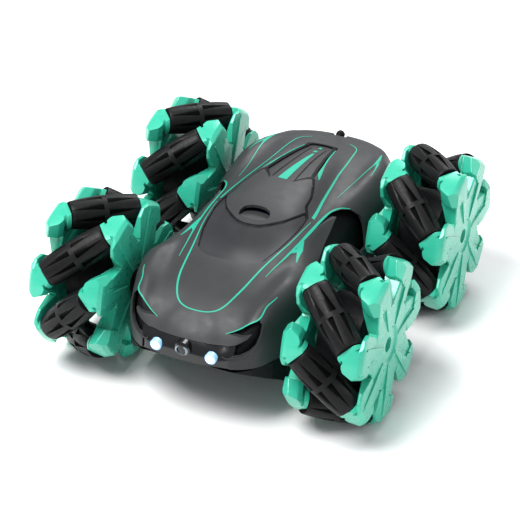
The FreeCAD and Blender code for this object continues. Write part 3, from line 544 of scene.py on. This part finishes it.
# Points of the body's left half from the middle line to the sill, one row after another from nose to tail.
ROWS = (
    ((0, -128.8, 49.8), (13, -128.3, 49.9), (24, -126.8, 50.2), (31, -124, 49), (38, -118.5, 47.5),
     (44, -111.5, 46.3), (49, -103, 46), (53, -93, 46)),
    ((0, -127, 57.3), (13, -126.4, 57), (24, -124.8, 56.4), (31, -122.4, 56.4), (38, -118, 56.5),
     (44.5, -111.6, 54.8), (50, -102, 51.5), (54, -91, 46)),
    ((0, -121.3, 64.4), (13, -120.7, 63.6), (23, -119.5, 62), (30, -118.6, 62.4), (37.5, -115.1, 65.5),
     (44.5, -109.1, 65.6), (50.5, -100, 59), (54.5, -87, 46)),
    ((0, -114.6, 69.9), (12, -114.1, 69.6), (22, -113.1, 68.6), (31, -111.1, 70.6), (38.5, -108.6, 74.2),
     (45.5, -104.1, 73.8), (51, -96, 63.2), (55, -83, 46)),
    ((0, -106.6, 75), (9, -106.1, 74.8), (17, -105.1, 74.6), (30, -103.1, 75.9), (39.5, -101.1, 79.2),
     (47.5, -96.1, 77), (53, -89, 65.4), (55.5, -77, 46)),
    ((0, -91.1, 81.3), (10, -91.1, 81.1), (20.5, -91.1, 80.9), (32, -90.1, 80.9), (42.5, -89.1, 84.1),
     (51, -85.1, 79.7), (56, -79, 65.7), (56.5, -71, 46)),
    ((0, -71, 86.3), (12, -71, 86), (24.7, -71, 84.7), (35, -71, 83.7), (45, -71, 86.3),
     (53, -70, 81), (57.2, -68, 67.8), (57.5, -65, 46)),
    ((0, -52, 88.2), (14, -52, 87.5), (28.1, -52, 86.7), (36, -52, 84.3), (43.5, -52, 83.3),
     (51, -52, 78.7), (55.5, -52, 68), (56.5, -52, 46)),
    ((0, -31.3, 93.3), (18, -31.3, 92.2), (31.1, -31.3, 88.6), (37.5, -31.3, 85.5), (42.5, -31.3, 82.4),
     (48.5, -31.3, 77), (53, -31.3, 68), (55, -31.3, 46)),
    ((0, -10.4, 98.0), (20, -10.4, 96.4), (32.8, -10.4, 89.6), (38.5, -10.4, 86.2), (42.5, -10.4, 82.2),
     (47.5, -10.4, 76.7), (52, -10.4, 68.3), (55, -10.4, 46)),
    ((0, 15.6, 99.2), (19, 15.6, 97.6), (31, 15.6, 89.6), (37.5, 15.6, 86.8), (42.5, 15.6, 83.6),
     (48.5, 15.6, 77.4), (53, 15.6, 68.4), (55.5, 15.6, 46)),
    ((0, 41.6, 97.2), (16.5, 41.6, 95.8), (28.3, 41.6, 88.7), (37, 41.6, 86.4), (44.5, 41.6, 85.2),
     (51.5, 41.6, 79.2), (56, 41.6, 68.2), (57, 41.6, 46)),
    ((0, 68.7, 93.2), (14, 68.7, 92.1), (25.8, 68.7, 87.3), (36, 68.7, 85.8), (45.5, 68.7, 87),
     (53, 68.7, 80.7), (57.4, 68.7, 68.2), (57.5, 68.7, 46)),
    ((0, 91.7, 87.8), (12, 91.7, 87.2), (23.5, 91.7, 85.9), (34, 90.7, 84.2), (44.5, 89.7, 84.8),
     (52, 86.6, 78.7), (56.2, 83.5, 67.2), (56.5, 79.5, 46)),
    ((0, 111, 83.4), (10, 111, 83.2), (19, 110.5, 82.8), (30, 108.5, 82.4), (40, 105, 81.8),
     (48, 100, 76.2), (53.5, 93.7, 65.2), (55, 87.5, 46)),
    ((0, 122.7, 80.5), (10, 122.4, 80.4), (19, 121.4, 80.2), (28.5, 118.6, 79.8), (37.5, 114, 78.8),
     (46, 107.2, 72.2), (51.5, 99.5, 60.5), (53.5, 93.5, 46)),
    ((0, 128.6, 73.2), (10, 128.3, 73.2), (19, 127.1, 73.2), (28.5, 124, 72.7), (37, 119, 70.7),
     (44.5, 112, 65.2), (49.5, 103.6, 55.5), (52, 98.5, 46)),
    ((0, 130, 58.5), (10, 129.8, 58.5), (19, 128.6, 58.5), (28, 125.6, 57.5), (36, 120.5, 55.5),
     (42.5, 114.5, 52.3), (47, 108.5, 49), (50, 103, 46)),
    ((0, 129, 46), (10, 128.8, 46), (19, 127.6, 46), (27.5, 124.8, 46), (34.5, 121, 46),
     (40, 117, 46), (45, 112, 46), (48.5, 107, 46)),
)
WALL = 2.0
ROW_STEPS = 6
COLUMN_STEPS = 5


def spline(points, steps):
    """A smooth curve through points, the same number of steps between each two."""
    points = np.asarray(points, float)
    ends = np.vstack([2 * points[0] - points[1], points, 2 * points[-1] - points[-2]])
    curve = []
    for index in range(1, len(ends) - 2):
        before, start, end, after = ends[index - 1:index + 3]
        for step in range(steps):
            t = step / steps
            square = (2 * before - 5 * start + 4 * end - after) * t ** 2
            cube = (3 * start - before - 3 * end + after) * t ** 3
            curve.append(0.5 * (2 * start + (end - before) * t + square + cube))
    curve.append(points[-1])
    return np.array(curve)


def surface_grid():
    """The body's outer surface as a grid of points from the right sill over the roof to the left."""
    full = []
    for row in ROWS:
        left = [(-x, y, z) for x, y, z in reversed(row[1:])]
        full.append(spline(left + list(row), COLUMN_STEPS))
    full = np.array(full)
    return np.stack([spline(full[:, column], ROW_STEPS) for column in range(full.shape[1])], axis=1)


GRID = surface_grid()


def grid_normals(grid):
    """The surface's direction at every point of the grid."""
    along = np.gradient(grid, axis=0)
    across = np.gradient(grid, axis=1)
    normal = np.cross(across, along)
    normal /= np.linalg.norm(normal, axis=2, keepdims=True)
    return normal


NORMALS = grid_normals(GRID)
if NORMALS[GRID.shape[0] // 2, GRID.shape[1] // 2, 2] < 0:
    NORMALS = -NORMALS


def layer_mesh(name, outer, inner):
    """A closed shell between two depths below the body's surface."""
    rows, columns = GRID.shape[:2]
    layers = (GRID - NORMALS * outer, GRID - NORMALS * inner)
    points = np.concatenate([layer.reshape(-1, 3) for layer in layers])
    shift = rows * columns
    faces = []

    def at(row, column, layer):
        return layer * shift + row * columns + column

    for row in range(rows - 1):
        for column in range(columns - 1):
            corners = ((row, column), (row, column + 1), (row + 1, column + 1), (row + 1, column))
            faces.append(tuple(at(r, c, 0) for r, c in corners))
            faces.append(tuple(at(r, c, 1) for r, c in reversed(corners)))
    for row in range(rows - 1):
        for column in (0, columns - 1):
            faces.append((at(row, column, 0), at(row + 1, column, 0),
                          at(row + 1, column, 1), at(row, column, 1)))
    for column in range(columns - 1):
        for row in (0, rows - 1):
            faces.append((at(row, column, 0), at(row, column + 1, 0),
                          at(row, column + 1, 1), at(row, column, 1)))
    return mesh_from(name, points * MM, faces)


def skin_tree():
    """The body's surface as a tree that rays and nearest points are found on."""
    rows, columns = GRID.shape[:2]
    faces = []
    for row in range(rows - 1):
        for column in range(columns - 1):
            corner = row * columns + column
            faces.append((corner, corner + 1, corner + columns + 1, corner + columns))
    return BVHTree.FromPolygons([Vector(p) for p in GRID.reshape(-1, 3)], faces)


SKIN = skin_tree()


def prism(name, corners, low, high, axis="z"):
    """A closed prism over a plane outline. Corners are (x, y), (x, z) or (y, z)."""
    places = {"z": lambda a, b, h: (a, b, h), "y": lambda a, b, h: (a, h, b), "x": lambda a, b, h: (h, a, b)}
    place = places[axis]
    points = [Vector(place(a, b, height)) * MM for height in (low, high) for a, b in corners]
    count = len(corners)
    faces = [tuple(range(count)), tuple(range(2 * count - 1, count - 1, -1))]
    for index in range(count):
        after = (index + 1) % count
        faces.append((index, after, count + after, count + index))
    return mesh_from(name, points, faces)


def grown(corners, margin):
    """A plane outline moved outwards by a margin."""
    count = len(corners)
    area = sum(corners[i][0] * corners[(i + 1) % count][1] - corners[(i + 1) % count][0] * corners[i][1]
               for i in range(count))
    way = 1 if area > 0 else -1
    result = []
    for index in range(count):
        before = Vector(corners[index - 1])
        here = Vector(corners[index])
        after = Vector(corners[(index + 1) % count])
        first = (here - before).normalized()
        second = (after - here).normalized()
        normal_a = Vector((first.y, -first.x)) * way
        normal_b = Vector((second.y, -second.x)) * way
        middle = (normal_a + normal_b).normalized()
        result.append(tuple(here + middle * margin / max(0.35, middle.dot(normal_a))))
    return result


# Outlines of the left half in plan, (x, y). They were measured on the photo through its solved camera.
HATCH_HALF = ((0, -31), (7, -30), (13.2, -26.4), (20.8, -19.6), (25.8, -10.2), (28.4, -2.2), (25.8, 3),
              (24.8, 13), (22, 23), (17.6, 32.6), (13, 28.8), (7.8, 21), (0, 20.2))
PANEL_HALF = ((0, 20.6), (7.6, 21.4), (12.8, 29.4), (16.6, 33.4), (9.8, 91), (8.4, 92), (0, 92.2))
SCREEN_HALF = ((0, -66), (8, -65.8), (14, -64.8), (20, -61), (23.5, -57), (26, -47), (28.3, -37), (30, -26),
               (30.8, -18), (30.6, -8), (28.9, -3.4), (26.5, -11), (21.4, -20.6), (13.5, -27.5), (7.2, -31.2),
               (0, -32.2))
FINGER_HALF = ((0, -13.8), (5, -14.4), (9, -16.6), (10.6, -20.5), (10, -24.5), (5, -26), (0, -26.4))

# Outlines seen from the front, (x, z), and the side intake seen from the side, (y, z), measured likewise.
BAND_HALF_OUTLINE = ((0, 62.8), (12, 62.5), (20, 62), (27.2, 62.1), (31, 63.2), (31, 57.2), (29.8, 56.4),
                     (29.8, 40), (0, 40))
EYE = ((30.6, 63), (33.1, 64.1), (37.8, 66.9), (39.3, 68.9), (33.2, 67.5), (24, 67.6), (28.7, 69.9),
       (36, 74.1), (41.5, 77.2), (44, 74.5), (44, 69.2), (42.5, 63.1), (39, 59.2), (34.5, 57.2), (30.6, 57.2))
INTAKE = ((-30.6, 76.5), (-25.3, 77), (-11.7, 79.1), (-0.6, 80.7), (14.2, 83.4), (8, 84.4), (0, 85.6),
          (-8, 86.7), (4, 86.8), (13.7, 86), (22.7, 84.4), (28.7, 82), (33, 76), (34, 52), (-33, 52))
SHAFT_HOLE = 7.6
ROOF_SPAN = (60, 120)
NOSE_SPAN = (-150, -105)


def both_halves(half):
    """A plan outline symmetric about the middle line from its left half."""
    return [*half, *((-x, y) for x, y in reversed(half) if x > 0)]


def ride_car(thing, *nodes, slot=None, body="car"):
    """Set what a piece rides on and the CAD nodes that it replaces. The slot argument is not used."""
    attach(thing, body)
    if nodes:
        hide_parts(*nodes)
    return thing


def cut_layer(name, outer, inner, tools):
    """The part inside the tools of a shell between two depths below the body's surface."""
    return combine(name, layer_mesh(f"{name}_layer", outer, inner), tools, "INTERSECT")


def build_body():
    hatch = both_halves(HATCH_HALF)
    panel = both_halves(PANEL_HALF)
    screen = both_halves(SCREEN_HALF)
    finger = both_halves(FINGER_HALF)
    band = both_halves(BAND_HALF_OUTLINE)
    tools = [prism("hatch_hole", grown(hatch, 1.0), *ROOF_SPAN),
             prism("panel_hole", grown(panel, 1.4), *ROOF_SPAN),
             prism("screen_hole", screen, *ROOF_SPAN), prism("nose_hole", band, *NOSE_SPAN, "y"),
             prism("notch", ((-6, 117.5), (6, 117.5), (6, 140), (-6, 140)), 76, 100)]
    for side in (1, -1):
        eye = [(side * x, z) for x, z in EYE]
        tools.append(prism("eye_hole", eye, -150, -95, "y"))
        tools.append(prism("intake_hole", INTAKE, *sorted((side * 33, side * 80)), "x"))
    for wheel, side in WHEELS.items():
        hub, _ = joint(f"wheel_{wheel}_spin")
        angles = [step * math.pi / 16 for step in range(32)]
        circle = [(hub.y / MM + SHAFT_HOLE * math.cos(angle), hub.z / MM + SHAFT_HOLE * math.sin(angle))
                  for angle in angles]
        tools.append(prism("shaft_hole", circle, *sorted((side * 44, side * 75)), "x"))
    shell = combine("body_cut", layer_mesh("body_skin", 0.0, WALL), tools, "DIFFERENCE")
    ride_car(add_object("body_shell_skin", shell, [GREY]), "body_shell", slot="shell_grey")

    lid = cut_layer("hatch_cut", 0.0, WALL, [prism("hatch_plan", hatch, *ROOF_SPAN)])
    lid = combine("lid_cut", lid, [prism("finger_hole", finger, *ROOF_SPAN)], "DIFFERENCE")
    ride_car(add_object("roof_hatch_lid", lid, [GREY]), "roof_hatch", slot="shell_grey", body="hatch")
    cup = []
    for x, y in grown(finger, 0.6):
        depth = 0.6 + 4.4 * (y + 27) / 13.2
        top = on_skin((x, y))[0].z - depth
        cup += [Vector((x, y, top)) * MM, Vector((x, y, top - 1.2)) * MM]
    ride_car(add_object("finger_cup", hull_mesh("finger_cup", cup), [GREY]), slot="shell_grey", body="hatch")

    for name, outline, inset in (("hatch_seam", hatch, -4.0), ("vent_seam", panel, -3.0)):
        seam = cut_layer(name, WALL + 0.9, WALL + 1.9, [prism("seam_plan", grown(outline, 2.5), *ROOF_SPAN)])
        seam = combine(name, seam, [prism("seam_hole", grown(outline, inset), *ROOF_SPAN)], "DIFFERENCE")
        ride_car(add_object(name, seam, [BLACK]), slot="black_plastic")
    vent = cut_layer("vent_cut", 1.2, WALL + 0.8, [prism("panel_plan", panel, *ROOF_SPAN)])
    ride_car(add_object("rear_vent_insert", vent, [GREY]), "rear_vent_panel", slot="shell_grey")
    # The windscreen layer takes the darker grey, painted shade for its steep slope.
    glass = cut_layer("screen_cut", 0.6, WALL + 0.4, [prism("screen_plan", grown(screen, 0.3), *ROOF_SPAN)])
    ride_car(add_object("windscreen", glass, [SCREEN_SHADE_GREY]), slot="shell_grey")

    nose = cut_layer("nose_cut", 0.9, 2.9, [prism("nose_plan", grown(band, 0.6), *NOSE_SPAN, "y")])
    ride_car(add_object("front_grille_band", nose, [GLOSS]), "front_grille", slot="gloss_black")
    for word, side in (("left", 1), ("right", -1)):
        eye = grown([(side * x, z) for x, z in EYE], 1.2)
        vent = cut_layer("eye_cut", 3.4, 5.4, [prism("eye_plan", eye, -150, -90, "y")])
        ride_car(add_object(f"eye_vent_{word}", vent, [BLACK]), slot="black_plastic")
        # A black sheet at the back of each side intake: painted shade, for the body's side there lies in shadow.
        intake_shade = cut_layer("intake_shade_cut", 5.0, 6.5,
                          [prism("intake_shade_plan", grown(INTAKE, 2.0), *sorted((side * 25, side * 80)), "x")])
        ride_car(add_object(f"intake_shade_sheet_{word}", intake_shade, [BLACK]), slot="black_plastic")


def on_skin(point):
    """The place on the body's surface above a plan point, or nearest to a space point, with its normal."""
    if len(point) == 2:
        spot, normal, _, _ = SKIN.ray_cast(Vector((*point, 300)), Vector((0, 0, -1)))
    else:
        spot, normal, _, _ = SKIN.find_nearest(Vector(point))
    if normal.dot(spot - Vector((0, spot.y * 0.8, 20))) < 0:
        normal = -normal
    return spot, normal


def ribbon(name, path, widths, material, lift=0.16, sink=-0.3, steps=6, body="car"):
    """A thin stripe laid on the body's skin along a smooth path of points on or near it."""
    curve = spline([tuple(on_skin(point)[0]) for point in path], steps)
    spread = np.interp(np.linspace(0, 1, len(curve)), np.linspace(0, 1, len(widths)), widths)
    across = 4
    top = []
    for index, point in enumerate(curve):
        here, normal = on_skin(tuple(point))
        ahead = Vector(curve[min(index + 1, len(curve) - 1)] - curve[max(index - 1, 0)])
        side = ahead.cross(normal).normalized()
        row = []
        for step in range(across + 1):
            offset = (step / across - 0.5) * spread[index]
            row.append((on_skin(tuple(here + side * offset))[0], normal))
        top.append(row)
    points = []
    for height in (lift, sink):
        for row in top:
            points += [(spot + normal * height) * MM for spot, normal in row]
    count = across + 1
    rows = len(top)
    shift = rows * count
    faces = []
    for index in range(rows - 1):
        for step in range(across):
            a = index * count + step
            faces.append((a, a + 1, a + count + 1, a + count))
            faces.append((shift + a, shift + a + count, shift + a + count + 1, shift + a + 1))
        for edge in (0, across):
            a = index * count + edge
            faces.append((a, a + count, shift + a + count, shift + a))
    for index in (0, rows - 1):
        for step in range(across):
            a = index * count + step
            faces.append((a, a + 1, shift + a + 1, shift + a))
    return ride_car(add_object(name, mesh_from(name, points, faces), [material]), body=body)


def both_sides(name, path, widths, material, **options):
    """A ribbon on the left side and its mirror image on the right."""
    for word, side in (("left", 1), ("right", -1)):
        mirrored = [(side * point[0], *point[1:]) for point in path]
        ribbon(f"{name}_{word}", mirrored, widths, material, **options)


IN_PANEL = {"lift": -1.0, "sink": -1.5}
GAP = {"lift": 0.05, "sink": -0.6}


def build_stripes():
    """The painted lines and the dark gaps, through points measured in the same way as the outlines."""
    half = [(0, -107.8), (7, -107), (12.6, -104.4), (16.6, -100), (19.8, -93), (22.2, -84), (23.8, -74),
            (25.6, -62), (28.2, -48), (30.6, -36)]
    loop = [(-x, y) for x, y in reversed(half[1:])] + half
    ribbon("hood_loop", loop, [0.7, 1.1, 1.3, 1.0, 0.7, 1.0, 1.3, 1.1, 0.7], MINT)
    both_sides("pillar_line", [(30.6, -36), (31.8, -27), (32.8, -17.4), (33.6, -7.4)], [0.7, 0.4], MINT)
    arc = [(30.2, -70.2, 84.1), (31.7, -58.7, 85.1), (33.4, -47.6, 85.7), (35.7, -29.3, 86.9),
           (36.8, -15.7, 87.4), (37.4, -0.5, 87.2), (38.4, 13.7, 86.3), (41.5, 22.7, 84.9),
           (46.2, 28.7, 82.3)]
    both_sides("door_arc", arc, [0.4, 0.8, 1.5, 2.0, 1.5, 1.0, 0.5], MINT)
    fork = [(36.6, -26, 86.6), (37.8, -34, 85.4), (39.2, -40, 84.6), (40.9, -47, 83.6)]
    both_sides("door_fork", fork, [1.2, 4.2, 2.0, 0.5], MINT)
    fork_front = [(37.4, -35, 85.6), (36.0, -38.5, 85.7), (34.6, -41.5, 85.8)]
    both_sides("door_fork_front", fork_front, [3.0, 1.8, 0.5], MINT)
    deck = [(33.2, -3), (32.4, 6), (30.5, 20), (28, 41), (26, 58), (24.7, 77), (23.4, 91), (22.2, 98.5),
            (19, 103.3), (14.5, 105.6)]
    both_sides("deck_stripe", deck, [2.2, 1.8, 1.2, 0.9, 0.8, 0.5], MINT)
    fender = [(36, 31), (37.6, 50), (39.6, 66), (41.2, 80), (41.7, 90), (39.6, 102)]
    both_sides("fender_line", fender, [0.3, 0.4, 0.6, 0.9, 2.6, 0.8], MINT)
    both_sides("fender_hook", [(45.7, 67, 86.9), (45, 76, 86.7), (43, 87, 85.4)], [0.3, 0.7, 1.8], MINT)
    eye = [(23.5, -114.3, 67.4), (29.4, -111.8, 69.9), (36.2, -108.5, 74.3), (41.8, -104, 77.3),
           (42.7, -96, 80.8), (45, -90.6, 82.9), (45.9, -87, 83.5)]
    both_sides("eye_line", eye, [0.4, 0.8, 1.0, 0.8, 0.4], MINT)
    rim = [(25.3, -123.8, 57.1), (28, -123.7, 56.2), (34.5, -120.4, 56.5), (39.8, -116.3, 58.6),
           (43.4, -111.9, 62.9), (45, -108, 69.2), (44.8, -105.2, 74.2)]
    both_sides("eye_rim", rim, [0.6, 1.0, 1.0, 0.7], GREY, lift=0.5)
    strip = [(11.6, 86), (13.8, 70), (16.2, 55), (18.4, 43), (20.6, 36)]
    both_sides("vent_strip", strip, [0.6, 0.9, 1.2, 2.6, 0.9], MINT)
    ribbon("vent_wedge", [(-0.4, 23.5), (0.2, 46), (1.2, 72)], [6.4, 4.6, 1.6], MINT, **IN_PANEL)
    for index, (back, width) in enumerate(((77.5, 2.4), (86, 2.0)), start=1):
        dot = [(0.4, back - 1.6), (0.4, back), (0.4, back + 1.6)]
        ribbon(f"vent_dot_{index}", dot, [width], MINT, steps=3, **IN_PANEL)
    both_sides("vent_slot", [(8.2, 25), (7.2, 42), (6.2, 60), (5.6, 84)], [1.1], BLACK, lift=-1.1, sink=-1.5)
    front_gap = [(-x, y) for x, y in reversed(HATCH_HALF[1:6])] + list(HATCH_HALF[:6])
    ribbon("hatch_front_gap", front_gap, [1.1], BLACK, **GAP)
    side_gap = [(21.6, 24), (24.9, 13), (25.9, 3), (27.2, 0.2), (30.8, -6.4)]
    both_sides("hatch_side_gap", side_gap, [2.0, 1.5, 1.2, 2.4, 1.8], BLACK, **GAP)
    rear_gap = [(8.4, 20.6), (12.6, 27.2), (17.6, 33), (21.4, 25)]
    both_sides("hatch_rear_gap", rear_gap, [0.9, 1.8, 2.8, 1.8], BLACK, **GAP)
    # The wide black border round the sunken vent panel is partly its dark joint and partly painted shade along the
    # recess.
    border = [(16.8, 33.6), (14.2, 50), (11.6, 71), (9.7, 88), (8.2, 92.2)]
    both_sides("vent_gap_shade", border, [2.2, 1.8, 1.6, 1.6], BLACK, **GAP)
    ribbon("vent_gap_shade_rear", [(8.6, 92), (0, 92.8), (-8.6, 92)], [1.6], BLACK, **GAP)
    pillar_gap = [(30.9, -6.6), (30.9, -20), (28.3, -38), (25.8, -48), (22.6, -58)]
    both_sides("pillar_gap", pillar_gap, [0.9, 1.1, 0.9, 0.4], BLACK, lift=0.02, sink=-0.6)


# ---------------------------------------------------------------- lamps, nozzle and carried parts


LAMP_ACROSS = 18.8
LAMP_HEIGHT = 55.4
LAMP_RADIUS = 2.9
SENSOR_HEIGHT = 57.8


def facing(place, way):
    """Where a turned piece stands, with its axis to the nose (way -1) or to the tail (way 1)."""
    return basis(Vector(place) * MM, Vector((1, 0, 0)), Vector((0, 0, -way)), Vector((0, way, 0)))


def arc_mesh(name, corners):
    """A thin curved bar from rows of four corners: inner low, inner high, outer low, outer high."""
    rows = len(corners) // 4
    points = [Vector(corner) * MM for corner in corners]
    faces = [(0, 1, 3, 2), (4 * rows - 4, 4 * rows - 3, 4 * rows - 1, 4 * rows - 2)]
    for row in range(rows - 1):
        for first, second in ((0, 1), (1, 3), (3, 2), (2, 0)):
            a = 4 * row
            faces.append((a + first, a + second, a + 4 + second, a + 4 + first))
    return mesh_from(name, points, faces)


def build_lamps():
    """Two lamps with a pale rim, and the black sensor window between them with its two glints."""
    low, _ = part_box("front_lenses")
    front = low.y / MM
    radius = LAMP_RADIUS
    halo = ((CORE, 0.0), (radius + 0.9, 0.0), (radius + 0.9, 3.2), (radius + 0.5, 3.6), (radius, 3.6),
            (radius - 0.3, 3.0), (CORE, 3.0))
    dome = ((CORE, 2.0), (radius - 0.2, 2.0), (radius - 0.2, 3.4), (radius * 0.85, 4.1), (radius * 0.5, 4.6),
            (CORE, 4.8))
    for word, side in (("left", 1), ("right", -1)):
        for part, profile, material in (("halo", halo, LAMP_HALO), ("dome", dome, LAMP_WHITE)):
            name = f"lamp_{part}_{word}"
            thing = add_object(name, ring_mesh(name, profile), [material])
            thing.matrix_world = facing((side * LAMP_ACROSS, front + 5.0, LAMP_HEIGHT), -1)
            ride_car(thing, slot="clear_lens")
    lens = ((CORE, 0.0), (5.2, 0.0), (5.2, 4.2), (4.6, 4.8), (3.0, 5.4), (CORE, 5.7))
    sensor = facing((0, front + 5.6, SENSOR_HEIGHT), -1)
    thing = add_object("sensor_window", ring_mesh("sensor_window", lens), [GLOSS])
    thing.matrix_world = sensor
    ride_car(thing, "front_lenses", slot="clear_lens")
    for word, side in (("left", 1), ("right", -1)):
        arc = []
        for step in range(9):
            angle = math.radians(-58 + 116 * step / 8)
            for reach in (3.2, 3.2 + 1.1 * math.cos(angle * 1.4)):
                for depth in (0.0, 6.1 if reach < 3.3 else 5.6):
                    arc.append((side * reach * math.cos(angle), reach * math.sin(angle), depth))
        name = f"sensor_arc_{word}"
        thing = add_object(name, arc_mesh(name, arc), [PALE])
        thing.matrix_world = sensor
        ride_car(thing, slot="clear_lens")


def build_nozzle():
    """The round knob in the notch at the tail."""
    low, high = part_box("tail_nozzle")
    height = (low.z + high.z) / 2 / MM
    knob = ((CORE, 0.0), (1.8, 0.0), (1.8, 2.6), (2.6, 3.2), (3.1, 4.2), (3.2, 5.4), (3.0, 6.5), (2.3, 7.3),
            (1.2, 7.7), (CORE, 7.8))
    thing = add_object("tail_nozzle_knob", ring_mesh("tail_nozzle_knob", knob), [BLACK])
    thing.matrix_world = facing((0, low.y / MM, height), 1)
    ride_car(thing, "tail_nozzle", slot="black_plastic")


def dress_cad_nodes():
    """Give every CAD node that is still shown the finish of its slot."""
    finish = {sub["node"]: sub["material_slot"] for sub in frame["record"]["subparts"]}
    for node, thing in frame["nodes"].items():
        if thing.hide_render:
            continue
        thing.data.materials.clear()
        thing.data.materials.append(CAD_FINISH[finish[node]])


# ---------------------------------------------------------------- studio


FLOOR_HALF = 6  # metres, like everything in this section but the lens and the sensor


def build_studio():
    """A pale floor, a pale sky and three soft lights."""
    corners = [Vector((x * FLOOR_HALF, y * FLOOR_HALF, 0)) for x, y in ((-1, -1), (1, -1), (1, 1), (-1, 1))]
    plane = mesh_from("floor", corners, [(0, 1, 2, 3)])
    add_object("floor", plane, [FLOOR], smooth=None)
    world = bpy.data.worlds.new("studio")
    SCENE.world = world
    world.use_nodes = True
    background = world.node_tree.nodes["Background"]
    background.inputs["Color"].default_value = (0.95, 0.97, 1.0, 1.0)
    background.inputs["Strength"].default_value = 0.45
    SCENE.view_settings.view_transform = "Standard"
    lights = (
        ("key", (-0.55, -0.75, 1.8), 0.9, 50.0),
        ("rim", (-0.1, 1.3, 1.3), 0.9, 20.0),
        ("side", (1.6, 0.3, 0.8), 0.7, 4.0),
    )
    for name, place, size, power in lights:
        lamp = bpy.data.lights.new(name, "AREA")
        lamp.size = size
        lamp.energy = power
        thing = bpy.data.objects.new(name, lamp)
        SCENE.collection.objects.link(thing)
        thing.location = place
        aim = Vector((0, 0, 0.05)) - thing.location
        thing.rotation_euler = aim.to_track_quat("-Z", "Y").to_euler()


# The photo's camera, solved on the ends of the rollers in view and on left-right pairs of body points.
CAMERA_AZIMUTH = math.radians(25.013)
CAMERA_HEIGHT = math.radians(32.744)
CAMERA_ROLL = math.radians(-0.728)
CAMERA_AIM = (0, 0, 0.055)
CAMERA_DISTANCE = 1.23225


def build_camera():
    level = math.cos(CAMERA_HEIGHT)
    back = Vector((math.sin(CAMERA_AZIMUTH) * level, -math.cos(CAMERA_AZIMUTH) * level,
                   math.sin(CAMERA_HEIGHT)))
    right = Vector((math.cos(CAMERA_AZIMUTH), math.sin(CAMERA_AZIMUTH), 0))
    up = back.cross(right)
    right_rolled = right * math.cos(CAMERA_ROLL) + up * math.sin(CAMERA_ROLL)
    up_rolled = up * math.cos(CAMERA_ROLL) - right * math.sin(CAMERA_ROLL)
    camera = bpy.data.cameras.new("camera")
    camera.lens = 127.93
    camera.sensor_width = 36
    camera.shift_x = -0.01705
    camera.shift_y = -0.01913
    camera.clip_start = 0.05
    thing = bpy.data.objects.new("camera", camera)
    SCENE.collection.objects.link(thing)
    place = Vector(CAMERA_AIM) + back * CAMERA_DISTANCE
    thing.matrix_world = basis(place, right_rolled, up_rolled, back)
    SCENE.camera = thing


build_rollers()
build_wheel_frames()
build_body()
build_stripes()
build_lamps()
build_nozzle()
dress_cad_nodes()
build_studio()
build_camera()
